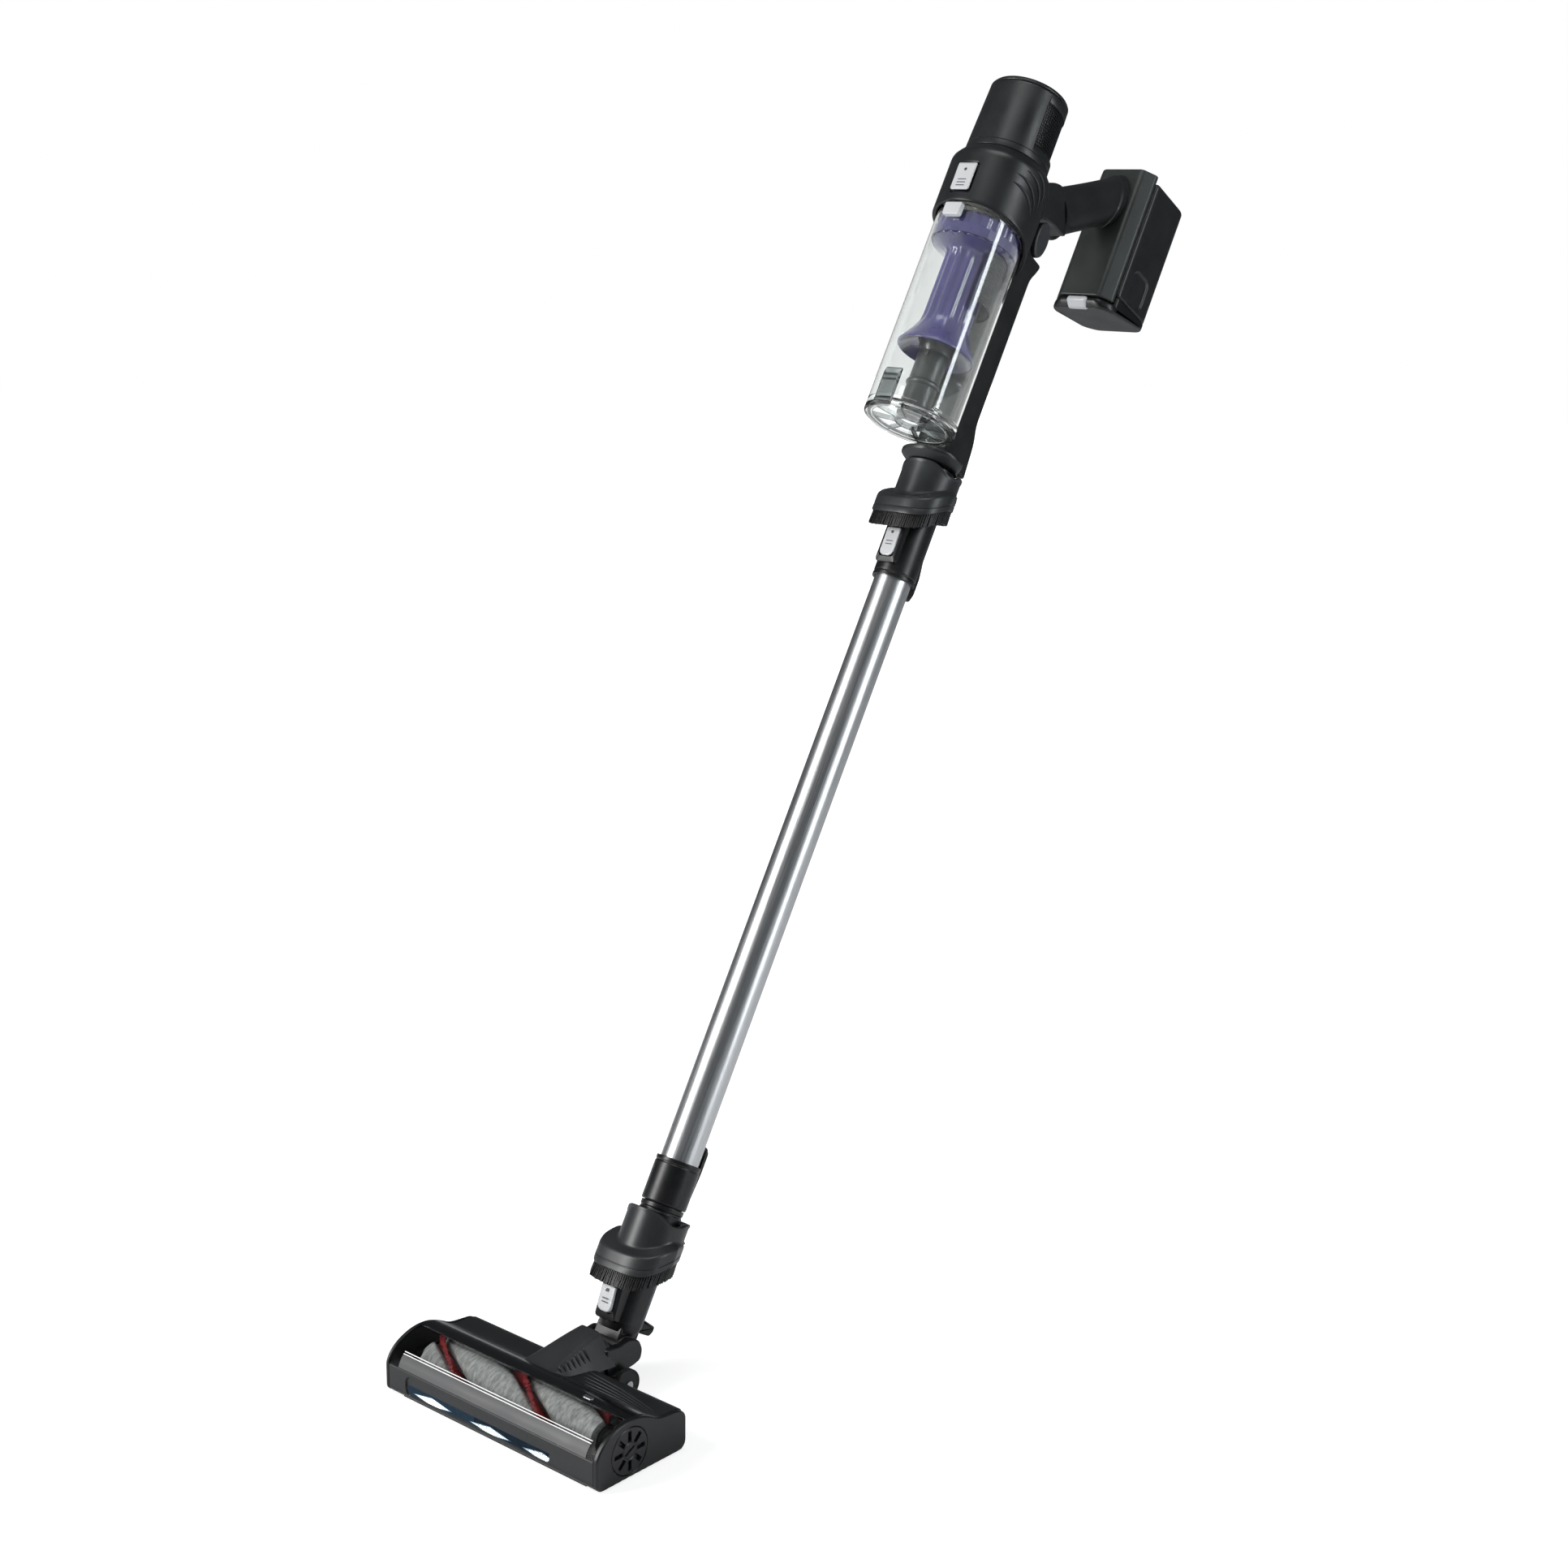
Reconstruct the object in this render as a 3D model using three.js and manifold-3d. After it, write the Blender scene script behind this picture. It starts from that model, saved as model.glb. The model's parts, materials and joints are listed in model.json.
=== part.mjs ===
// Cordless stick vacuum: floor head, swivelling neck, aluminium wand, two slide-down dusting
// brushes and a handset with a see-through cyclone bin and a battery pack behind the handle.
//
// Head parts are drawn in the head's own frame: X across, -Y to the front, Z up from the floor.
// Wand and handset parts are drawn in the wand's frame: Z along the wand, Y to the back, X across.
// The whole model is shifted so that its origin is the middle of the hand grip. Sizes are in mm.

import * as THREE from 'three';
import { mergeVertices } from 'three/addons/utils/BufferGeometryUtils.js';
import Module from 'manifold-3d';

const wasm = await Module();
wasm.setup();

// ---------------------------------------------------------------- driving dimensions

const GAP = 0.35;                 // clearance between touching pieces
const LEAN = 30.35;               // degrees the wand leans back from upright

const PIVOT_Y = 90.5;             // neck pivot, behind the middle of the floor head
const PIVOT_Z = 31.8;
const ROLL_TILT = 11;             // degrees the swivel axis rises towards the back

const HEAD_HALF = 125;            // half the floor head's width
const CAP_WALL = 4;
const SHELL_HALF = HEAD_HALF - CAP_WALL - GAP;
const BRUSH_Y = -14;
const BRUSH_Z = 24;
const BRUSH_R = 22.5;
const CORE_R = 12.5;
const DIAL_R = 19.5;

const TUBE_R = 16.9;              // aluminium wand tube
const TUBE_BORE = 15.4;
const TUBE_LOW = 141;
const TUBE_HIGH = 733;
const NECK_R = 19;
const NECK_TOP = 124.5;
const LOWER_RIM = 164;
const UPPER_RIM = 707.5;
const UPPER_SEAT = 817;
const PLUG_TOP = 831.5;

const COLLAR_R = 27.3;            // dusting brush: sleeve and oval skirt
const COLLAR_BORE = 20.2;
const SKIRT_HALF = 38.5;
const SKIRT_DEPTH = 32.5;
const SKIRT_BACK = -4.5;
const COLLAR_PITCH = 699.5;       // upper dusting brush above the lower one

const BIN_BACK = -54.5;           // bin and motor axis, in front of the wand axis
const BIN_R = 42.3;
const BIN_WALL = 2;
const BIN_LOW = 839.5;
const RING_R = 47;
const RING_TOP = 1086;
const SHOULDER_TOP = 1094;
const MOTOR_LOW = 1094.6;
const MOTOR_HIGH = 1161;
const MOTOR_R_LOW = 39.3;
const MOTOR_R_HIGH = 37;
const MOTOR_WALL = 2.6;

const SPINE_HALF = 17.5;
const SPINE_BACK = 15;
const TRIGGER_ALONG = 1058;
const TRIGGER_BACK = 11;

const HANDLE_RISE = 37;           // degrees between the handle and the wand's normal
const HANDLE_ALONG = 1097;        // where the handle's centre line leaves the body
const HANDLE_BACK = 30;
const HANDLE_HIGH = 46;
const HANDLE_WIDE = 36;
const GRIP_REACH = 42;            // from the body to the middle of the grip

const DOCK_FRONT = 112;
const DOCK_REAR = 127.6;
const DOCK_HALF = 32;
const DOCK_LOW = 1058.4;
const DOCK_HIGH = 1194;
const PACK_FRONT = 128;
const PACK_REAR = 193;
const PACK_HALF = 34;

const ROUND = 28;                 // facets of large, middle and small rounds
const MIDDLE = 20;
const SMALL = 12;

// ---------------------------------------------------------------- shape helpers

const radians = THREE.MathUtils.degToRad;

// A closed geometry as a manifold solid: vertices merged, collapsed triangles dropped.
function solid(geometry) {
  const bare = geometry.clone();
  bare.deleteAttribute('normal');
  bare.deleteAttribute('uv');
  const merged = mergeVertices(bare, 1e-4);
  const index = merged.index.array;
  const triVerts = [];
  for (let i = 0; i < index.length; i += 3) {
    const [a, b, c] = [index[i], index[i + 1], index[i + 2]];
    if (a !== b && b !== c && c !== a) triVerts.push(a, b, c);
  }
  return new wasm.Manifold(new wasm.Mesh({
    numProp: 3,
    vertProperties: new Float32Array(merged.attributes.position.array),
    triVerts: new Uint32Array(triVerts),
  }));
}

function geometryOf(manifold) {
  const mesh = manifold.getMesh();
  const geometry = new THREE.BufferGeometry();
  geometry.setAttribute('position', new THREE.BufferAttribute(mesh.vertProperties, 3));
  geometry.setIndex(new THREE.BufferAttribute(mesh.triVerts, 1));
  geometry.computeVertexNormals();
  return geometry;
}

function union(...solids) {
  return solids.reduce((whole, piece) => whole.add(piece));
}

function box(x0, x1, y0, y1, z0, z1) {
  const geometry = new THREE.BoxGeometry(x1 - x0, y1 - y0, z1 - z0);
  geometry.translate((x0 + x1) / 2, (y0 + y1) / 2, (z0 + z1) / 2);
  return solid(geometry);
}

// Outline in (x, y), raised from z0 to z1.
function raised(points, z0, z1) {
  const shape = new THREE.Shape(points.map(([x, y]) => new THREE.Vector2(x, y)));
  const geometry = new THREE.ExtrudeGeometry(shape, { depth: z1 - z0, bevelEnabled: false });
  geometry.translate(0, 0, z0);
  return solid(geometry);
}

// Outline in (y, z), carried across from x0 to x1.
function across(points, x0, x1) {
  const shape = new THREE.Shape(points.map(([y, z]) => new THREE.Vector2(y, z)));
  const geometry = new THREE.ExtrudeGeometry(shape, { depth: x1 - x0, bevelEnabled: false });
  geometry.applyMatrix4(new THREE.Matrix4().makeBasis(
    new THREE.Vector3(0, 1, 0), new THREE.Vector3(0, 0, 1), new THREE.Vector3(1, 0, 0)));
  geometry.translate(x0, 0, 0);
  return solid(geometry);
}

// Profile of (radius, z) turned about the line x = 0, y = back.
function turned(profile, facets, back = 0) {
  const geometry = new THREE.LatheGeometry(profile.map(([r, z]) => new THREE.Vector2(r, z)), facets);
  geometry.rotateX(Math.PI / 2);
  geometry.translate(0, back, 0);
  return solid(geometry);
}

function rod(radius, z0, z1, facets, back = 0) {
  return turned([[0, z0], [radius, z0], [radius, z1], [0, z1]], facets, back);
}

function pipe(outer, inner, z0, z1, facets, back = 0) {
  return turned([[inner, z0], [outer, z0], [outer, z1], [inner, z1], [inner, z0]], facets, back);
}

// A rod across the model, from x0 to x1, about the point (y, z).
function crossRod(radius, x0, x1, y, z, facets) {
  const geometry = new THREE.CylinderGeometry(radius, radius, x1 - x0, facets);
  geometry.rotateZ(-Math.PI / 2);
  geometry.translate((x0 + x1) / 2, y, z);
  return solid(geometry);
}

function ellipse(halfX, halfY, centreY, facets) {
  return Array.from({ length: facets }, (_, i) => {
    const angle = (i / facets) * 2 * Math.PI;
    return [halfX * Math.cos(angle), centreY + halfY * Math.sin(angle)];
  });
}

function arc(y, z, radius, from, to, steps) {
  return Array.from({ length: steps + 1 }, (_, i) => {
    const angle = radians(from + (to - from) * i / steps);
    return [y + radius * Math.cos(angle), z + radius * Math.sin(angle)];
  });
}

// ---------------------------------------------------------------- finishes

function plastic(color, roughness = 0.45) {
  return new THREE.MeshStandardMaterial({ color, roughness, metalness: 0 });
}

function metal(color, roughness = 0.3) {
  return new THREE.MeshStandardMaterial({ color, roughness, metalness: 1 });
}

const charcoal = () => plastic(0x2c2f31);
const black = () => plastic(0x121314, 0.5);
const white = () => plastic(0xe8e8ea, 0.25);
const indigo = () => plastic(0x3a2f78, 0.3);
const smoke = () => plastic(0x8f9a96, 0.1);
const rubber = () => plastic(0x1a1a1a, 0.8);

function mesh(name, shape, material) {
  const piece = new THREE.Mesh(geometryOf(shape), material);
  piece.name = name;
  return piece;
}

// ---------------------------------------------------------------- floor head

// End profile of the head in (y, z): flat sole, upright nose, dome over the brush, low tail.
const DOME = [[-50, 28], [-47, 34], [-42, 39.5], [-36, 43.5], [-26, 48], [-14, 50], [-3, 49]];
const TAIL = [[8, 45], [20, 38.5], [44, 36], [50, 31]];
const SOLE_Z = 1.5;
const HEAD_PROFILE = [[-46, SOLE_Z], [46, SOLE_Z], [50, 6], ...[...TAIL].reverse(),
  ...[...DOME].reverse(), [-50, 5]];

// The same run of points moved inwards along its own normals by the wall thickness.
function inset(points, wall) {
  return points.map(([y, z], i) => {
    const before = points[Math.max(i - 1, 0)];
    const after = points[Math.min(i + 1, points.length - 1)];
    const length = Math.hypot(after[0] - before[0], after[1] - before[1]);
    return [y + wall * (after[1] - before[1]) / length, z - wall * (after[0] - before[0]) / length];
  });
}

function shellStrip(points, wall, half) {
  return across([...points, ...inset(points, wall).reverse()].reverse(), -half, half);
}

const BASE_TOP = 27.5;            // split between the base and what stands on it
const PARTITION_Y = 12.5;         // wall between the brush chamber and the motor bay
const BELT_X = 106;
const LED_FROM = -100;
const LED_TO = 72;
const SOCKET_R = 22;
const SPIGOT_R = 15;

function headBase() {
  const nose = across([[-50, 5], [-46, SOLE_Z], [-41, SOLE_Z], [-41, BASE_TOP], [-50, BASE_TOP]],
    -SHELL_HALF, SHELL_HALF);
  const floor = across([[6, SOLE_Z], [46, SOLE_Z], [50, 6], [50, 30.5], [47.5, 30.5], [47.5, 7],
    [45, 4], [6, 4]], -SHELL_HALF, SHELL_HALF);
  const partition = box(-98, 98, PARTITION_Y, PARTITION_Y + 2.5, 3, 34);
  const ends = [-1, 1].map((side) => across([[-46, 4], [46, 4], [47.5, 30.5], [-41, BASE_TOP]],
    side > 0 ? SHELL_HALF - 3 : -SHELL_HALF, side > 0 ? SHELL_HALF : -SHELL_HALF + 3));
  const axleHoles = crossRod(5.5, -130, 130, BRUSH_Y, BRUSH_Z, MIDDLE);
  const lampRecess = box(LED_FROM, LED_TO, -55, -45.5, 4, 17.5);
  const lampPocket = box(LED_FROM + 4, LED_TO - 4, -46, -43, 6, 15);
  const duct = new THREE.CylinderGeometry(13, 13, 60, MIDDLE);
  duct.rotateX(radians(ROLL_TILT));
  duct.translate(0, 38, 21.5);
  const ring = yokeTurned([[SPIGOT_R + GAP, -43], [SOCKET_R, -43], [SOCKET_R, -29.5],
    [SPIGOT_R + GAP, -29.5], [SPIGOT_R + GAP, -43]]);
  const forks = [-1, 1].map((side) => across(
    [[45, 4], [49, SOLE_Z + 4], [78, 9], [82, 13.5], [78, 18], [49, 26]],
    side > 0 ? 24.3 : -27.3, side > 0 ? 27.3 : -24.3));
  const wheelHoles = crossRod(2.4, -40, 40, WHEEL_Y, WHEEL_Z, SMALL);
  return union(nose, floor, partition, ...ends, ring, ...forks)
    .subtract(axleHoles).subtract(lampRecess).subtract(lampPocket)
    .subtract(solid(duct)).subtract(wheelHoles)
    .subtract(yokeTurned([[0, -60], [SPIGOT_R + GAP, -60], [SPIGOT_R + GAP, -20], [0, -20]]));
}

function headTopCover() {
  const roof = shellStrip([...DOME.slice(-2), ...TAIL], 2.5, SHELL_HALF);
  const socket = yokeTurned([[0, -60], [SOCKET_R + 1, -60], [SOCKET_R + 1, 0], [0, 0]]);
  return roof.subtract(box(-200, 200, -20, -11, 40, 60)).subtract(socket)
    .subtract(box(-200, 200, 40, 60, 0, 30.9));
}

function brushWindow() {
  return shellStrip(DOME.slice(0, -1), 2.2, SHELL_HALF).subtract(box(-200, 200, -14.4, 0, 40, 60))
    .subtract(box(-200, 200, -60, 0, 0, BASE_TOP + GAP));
}

function endCap(side) {
  const plate = across(HEAD_PROFILE, side > 0 ? HEAD_HALF - CAP_WALL : -HEAD_HALF,
    side > 0 ? HEAD_HALF : CAP_WALL - HEAD_HALF);
  const bore = crossRod(side > 0 ? DIAL_R + GAP : 4, -200, 200, BRUSH_Y, BRUSH_Z, ROUND);
  return side > 0 ? plate.subtract(bore) : plate;
}

function soleStrip() {
  return box(-108, 108, -45, -42, 0, SOLE_Z - 0.2);
}

function brushLockDial() {
  const disc = crossRod(DIAL_R, HEAD_HALF - CAP_WALL + GAP, HEAD_HALF, BRUSH_Y, BRUSH_Z, ROUND);
  const slots = Array.from({ length: 8 }, (_, i) => {
    const angle = (i / 8) * 2 * Math.PI;
    const y = BRUSH_Y + 13 * Math.cos(angle);
    const z = BRUSH_Z + 13 * Math.sin(angle);
    return crossRod(2, HEAD_HALF - 2, HEAD_HALF + 1, y, z, 8);
  });
  const coinSlot = box(HEAD_HALF - 2, HEAD_HALF + 1, BRUSH_Y - 5, BRUSH_Y + 5, BRUSH_Z - 1.5, BRUSH_Z + 1.5);
  const bearing = crossRod(4.3, 120, 123, BRUSH_Y, BRUSH_Z, SMALL);
  return slots.reduce((dial, slot) => dial.subtract(slot), disc).subtract(coinSlot).subtract(bearing);
}

function brushCore() {
  const barrel = crossRod(CORE_R, -104, 100, BRUSH_Y, BRUSH_Z, MIDDLE);
  const pulley = crossRod(10, 99, 113, BRUSH_Y, BRUSH_Z, MIDDLE);
  const axle = crossRod(3.9, -120.5, 122.6, BRUSH_Y, BRUSH_Z, SMALL);
  return union(barrel, pulley, axle);
}

// One helical row of bristles: a flat blade that winds round the core from end to end.
function bristleRow(startTurn, turns) {
  const steps = 40;
  const half = 100;
  const thick = 0.16;
  const positions = [];
  for (let i = 0; i <= steps; i += 1) {
    const x = -half + (2 * half * i) / steps;
    const angle = (startTurn + (turns * i) / steps) * 2 * Math.PI;
    for (const [radius, spread] of [[CORE_R + 0.9, -thick], [BRUSH_R, -thick / 2],
      [BRUSH_R, thick / 2], [CORE_R + 0.9, thick]]) {
      positions.push(x, BRUSH_Y + radius * Math.cos(angle + spread), BRUSH_Z + radius * Math.sin(angle + spread));
    }
  }
  const index = [0, 1, 2, 0, 2, 3];
  for (let i = 0; i < steps; i += 1) {
    for (let k = 0; k < 4; k += 1) {
      const a = 4 * i + k;
      const b = 4 * i + ((k + 1) % 4);
      index.push(a, a + 4, b, b, a + 4, b + 4);
    }
  }
  const last = 4 * steps;
  index.push(last, last + 2, last + 1, last, last + 3, last + 2);
  const geometry = new THREE.BufferGeometry();
  geometry.setAttribute('position', new THREE.Float32BufferAttribute(positions, 3));
  geometry.setIndex(index.reverse());
  return solid(geometry);
}

const MOTOR_BAY_Y = 31;
const MOTOR_BAY_Z = 19;
const PULLEY_R = 6;

function driveMotor() {
  return union(crossRod(12, 38, 92, MOTOR_BAY_Y, MOTOR_BAY_Z, MIDDLE),
    crossRod(5, 34, 38.5, MOTOR_BAY_Y, MOTOR_BAY_Z, SMALL))
    .subtract(crossRod(2.4, 80, 95, MOTOR_BAY_Y, MOTOR_BAY_Z, SMALL));
}

function motorPulley() {
  return union(crossRod(PULLEY_R, 101, 112, MOTOR_BAY_Y, MOTOR_BAY_Z, MIDDLE),
    crossRod(2, 81, 102, MOTOR_BAY_Y, MOTOR_BAY_Z, SMALL));
}

// A flat belt: the outer run round both pulleys less the inner run.
function driveBelt() {
  const run = (extra) => {
    const slope = Math.atan2(MOTOR_BAY_Z - BRUSH_Z, MOTOR_BAY_Y - BRUSH_Y) * 180 / Math.PI;
    return [...arc(BRUSH_Y, BRUSH_Z, 10 + extra, slope + 90, slope + 270, 12),
      ...arc(MOTOR_BAY_Y, MOTOR_BAY_Z, PULLEY_R + extra, slope - 90, slope + 90, 12)];
  };
  return across(run(1.6), BELT_X - 4, BELT_X + 4).subtract(across(run(0.4), BELT_X - 5, BELT_X + 5));
}

const WHEEL_R = 13.4;
const WHEEL_Y = 76;
const WHEEL_Z = WHEEL_R;

function rearWheel(side) {
  const [x0, x1] = side > 0 ? [27.9, 35] : [-35, -27.9];
  return crossRod(WHEEL_R, x0, x1, WHEEL_Y, WHEEL_Z, MIDDLE)
    .subtract(crossRod(2.4, -40, 40, WHEEL_Y, WHEEL_Z, SMALL));
}

function wheelPin(side) {
  const [x0, x1] = side > 0 ? [24, 35.4] : [-35.4, -24];
  return union(crossRod(2, x0, x1, WHEEL_Y, WHEEL_Z, SMALL),
    crossRod(4, side > 0 ? 35.3 : -36.3, side > 0 ? 36.3 : -35.3, WHEEL_Y, WHEEL_Z, SMALL));
}

// The fan-shaped hood over the swivel: narrow on the brush cover, wider and rounder at the neck.
function neckHood() {
  const sections = [
    { y: 6, top: 45.8, halfTop: 17.5, half: 18.5, low: 44 },
    { y: 22, top: 49.5, halfTop: 15, half: 23, low: 36 },
    { y: 44, top: 54, halfTop: 12.5, half: 28, low: 34 },
    { y: 66, top: 57.5, halfTop: 11, half: 29.5, low: 32 },
  ];
  const positions = [];
  for (const { y, top, halfTop, half, low } of sections) {
    positions.push(-half, y, low, -halfTop, y, top, halfTop, y, top, half, y, low);
  }
  const index = [0, 1, 2, 0, 2, 3];
  for (let i = 0; i < sections.length - 1; i += 1) {
    for (let k = 0; k < 4; k += 1) {
      const a = 4 * i + k;
      const b = 4 * i + ((k + 1) % 4);
      index.push(a, a + 4, b, b, a + 4, b + 4);
    }
  }
  const last = 4 * (sections.length - 1);
  index.push(last, last + 2, last + 1, last, last + 3, last + 2);
  const geometry = new THREE.BufferGeometry();
  geometry.setAttribute('position', new THREE.Float32BufferAttribute(positions, 3));
  geometry.setIndex(index.reverse());
  const coverTop = across([[-20, 50 + GAP], [-3, 49 + GAP], ...TAIL.map(([y, z]) => [y, z + GAP]),
    [50.5, 31], [50.5, 0], [-20, 0]], -200, 200);
  const swing = yokeTurned([[0, -70], [25.4, -70], [25.4, 40], [0, 40]]);
  return solid(geometry).subtract(coverTop).subtract(swing);
}

// ---------------------------------------------------------------- swivel yoke

// Profile of (radius, distance) turned about the swivel axis, which runs through the neck pivot.
function yokeTurned(profile) {
  const geometry = new THREE.LatheGeometry(profile.map(([r, d]) => new THREE.Vector2(r, d)), ROUND);
  geometry.rotateX(radians(ROLL_TILT));
  geometry.translate(0, PIVOT_Y, PIVOT_Z);
  return solid(geometry);
}

const EYE_R = 14;
const EYE_HALF = 16;
const PIN_R = 4;

function swivelYoke() {
  const turret = yokeTurned([[9, -42.5], [SPIGOT_R, -42.5], [SPIGOT_R, -29], [24.6, -29], [24.6, 3],
    [21, 12], [9, 12], [9, -42.5]]);
  const eyeSlot = union(crossRod(EYE_R + 4, -EYE_HALF - GAP, EYE_HALF + GAP, PIVOT_Y, PIVOT_Z, MIDDLE),
    box(-EYE_HALF - GAP, EYE_HALF + GAP, PIVOT_Y - 15, PIVOT_Y + 40, PIVOT_Z - 1, PIVOT_Z + 40));
  const reach = EYE_R + 0.6;
  const neckSweep = across([[PIVOT_Y - 21, PIVOT_Z + 40], [PIVOT_Y - 21, PIVOT_Z + reach],
    ...arc(PIVOT_Y, PIVOT_Z, reach, 90, 0, 6), [PIVOT_Y + reach, PIVOT_Z - 22],
    [PIVOT_Y + 40, PIVOT_Z - 22], [PIVOT_Y + 40, PIVOT_Z + 40]].reverse(), -60, 60);
  const pinHole = crossRod(PIN_R + 0.4, -60, 60, PIVOT_Y, PIVOT_Z, SMALL);
  return turret.subtract(eyeSlot).subtract(neckSweep).subtract(pinHole);
}

function pivotPin() {
  return crossRod(PIN_R, -23.5, 23.5, PIVOT_Y, PIVOT_Z, SMALL);
}

// ---------------------------------------------------------------- neck, wand and connectors

function neckTube() {
  const eye = crossRod(EYE_R, -EYE_HALF, EYE_HALF, 0, 0, MIDDLE);
  const throat = box(-14, 14, -12, 12, 0, 18);
  const barrel = turned([[0, 15.5], [16.5, 15.5], [NECK_R, 22], [NECK_R, NECK_TOP], [0, NECK_TOP]], ROUND);
  const boss = across([[-15, 20], [-21.5, 22], [-28.4, 42], [-27, 49], [-15, 54]].reverse(), -11.5, 11.5);
  const tab = across([[15, 17], [33, 17], [36, 21], [36, 26], [15, 30]], -9, 9);
  const bore = rod(17.2, 62, 200, ROUND);
  const duct = rod(12.5, 12, 70, MIDDLE);
  const buttonPocket = across([[-26.2, 20], [-33, 42], [-31, 50], [-24.6, 50], [-22.6, 44], [-20.5, 24]],
    -8.3, 8.3);
  const pinHole = crossRod(PIN_R + 0.4, -60, 60, 0, 0, SMALL);
  return union(eye, throat, barrel, boss, tab).subtract(bore).subtract(duct)
    .subtract(buttonPocket).subtract(pinHole);
}

function headReleaseButton() {
  return across([[-26.4, 26], [-31, 42], [-30.2, 47.6], [-26.4, 47.6], [-26.2, 42], [-23.6, 27]], -7.9, 7.9);
}

function lowerConnector() {
  const plug = pipe(16.8, 14.2, 84, NECK_TOP + 2, ROUND);
  const socket = pipe(20, TUBE_R + 0.3, TUBE_LOW - 1, LOWER_RIM, ROUND);
  const waist = pipe(20, 14.2, NECK_TOP + GAP, TUBE_LOW, ROUND);
  const rib = across([[17, 128], [23, 132], [25.5, 160], [25.5, 178], [19, 183], [17.6, 183], [17.6, 160]],
    -8, 8);
  return union(plug, waist, socket, rib).subtract(rod(TUBE_R + 0.3, TUBE_LOW - 0.6, 300, ROUND));
}

function wandTube() {
  return pipe(TUBE_R, TUBE_BORE, TUBE_LOW, TUBE_HIGH, ROUND);
}

function upperConnector() {
  const socket = pipe(19.6, TUBE_R + 0.3, UPPER_RIM, TUBE_HIGH + 1, ROUND);
  const body = pipe(19.6, 14.2, TUBE_HIGH + 0.6, UPPER_SEAT, ROUND);
  const plug = pipe(16.8, 14.2, UPPER_SEAT - 2, PLUG_TOP, ROUND);
  const rib = across([[17, 698], [23, 698], [26, 706], [26, 722], [21, 746], [17, 750]], -8, 8);
  const boss = across([[-16, 718], [-22, 721], [-22.5, 752], [-16, 757]].reverse(), -10.5, 10.5);
  const buttonPocket = box(-7.8, 7.8, -30, -18.4, 723, 750.4);
  return union(socket, body, plug, rib, boss).subtract(buttonPocket)
    .subtract(rod(TUBE_R + 0.3, 600, TUBE_HIGH + 0.4, ROUND));
}

function wandReleaseButton() {
  return across([[-23.8, 724.5], [-24.2, 749], [-21.2, 749.8], [-21.2, 723.6]].reverse(), -7.4, 7.4);
}

// ---------------------------------------------------------------- dusting brushes

// Lower edge of the skirt: level at the front, rising along the sides to the back.
const SKIRT_EDGE = [[-60, 59], [-32, 60.5], [-24, 66], [-5, 79], [30, 90], [60, 92]];
const SKIRT_TOP = [[-60, 75], [-34, 76.5], [-26, 84], [-18, 95], [-5, 106], [30, 111], [60, 111]];
const LIP = [[-60, 119], [-22, 117.5], [-10, 110.5], [0, 112], [8, 116.5], [60, 117.5]];

function below(edge, floor) {
  return across([...edge, [60, floor], [-60, floor]].reverse(), -60, 60);
}

function dustingCollar() {
  const skirt = raised(ellipse(SKIRT_HALF, SKIRT_DEPTH, SKIRT_BACK, ROUND), 40, 125)
    .intersect(below(SKIRT_TOP, 20)).subtract(below(SKIRT_EDGE, 20));
  const hollow = raised(ellipse(SKIRT_HALF - 4.6, SKIRT_DEPTH - 4.6, SKIRT_BACK, ROUND), 40, 125)
    .intersect(below(SKIRT_TOP.map(([y, z]) => [y, z - 5]), 20));
  const bristleSlot = raised(ellipse(SKIRT_HALF - 1.2, SKIRT_DEPTH - 1.2, SKIRT_BACK, ROUND), 40, 125)
    .intersect(below(SKIRT_EDGE.map(([y, z]) => [y, z + 4]), 20));
  const sleeve = rod(COLLAR_R, 70, 125, ROUND).intersect(below(LIP, 20));
  return union(skirt, sleeve).subtract(hollow).subtract(bristleSlot).subtract(below(SKIRT_EDGE, 20))
    .subtract(rod(COLLAR_BORE, 0, 200, ROUND));
}

function bristleRing() {
  const outer = raised(ellipse(SKIRT_HALF - 1.6, SKIRT_DEPTH - 1.6, SKIRT_BACK, ROUND), 20, 125);
  const inner = raised(ellipse(SKIRT_HALF - 4.4, SKIRT_DEPTH - 4.4, SKIRT_BACK, ROUND), 10, 130);
  return outer.subtract(inner).intersect(below(SKIRT_EDGE.map(([y, z]) => [y, z + 3.6]), 20))
    .subtract(below(SKIRT_EDGE.map(([y, z]) => [y, z - 13]), 0));
}

// ---------------------------------------------------------------- handset body

// Underside of the body ring, in (y, z): high at the front and falling towards the spine.
const JOINT_EDGE = [[-140, 1037], [-101, 1033], [-70, 1029.5], [-50, 1025.5], [-34, 1018], [-20, 1009],
  [-7, 1003], [20, 1001]];

function lifted(edge, by) {
  return edge.map(([y, z]) => [y, z + by]);
}

function bodyRing() {
  const outside = turned([[0, 990], [RING_R, 990], [RING_R, RING_TOP], [MOTOR_R_LOW + 1.4, SHOULDER_TOP],
    [0, SHOULDER_TOP]], ROUND, BIN_BACK);
  const filterRoom = rod(43.4, 980, 1078, ROUND, BIN_BACK);
  const throat = rod(30, 1000, 1200, ROUND, BIN_BACK);
  const under = across([...JOINT_EDGE, [20, 900], [-140, 900]].reverse(), -100, 100);
  const buttonSlot = box(-11, 11, -104, -98.6, 1039, 1070);
  return outside.subtract(filterRoom).subtract(throat).subtract(under).subtract(buttonSlot);
}

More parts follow.
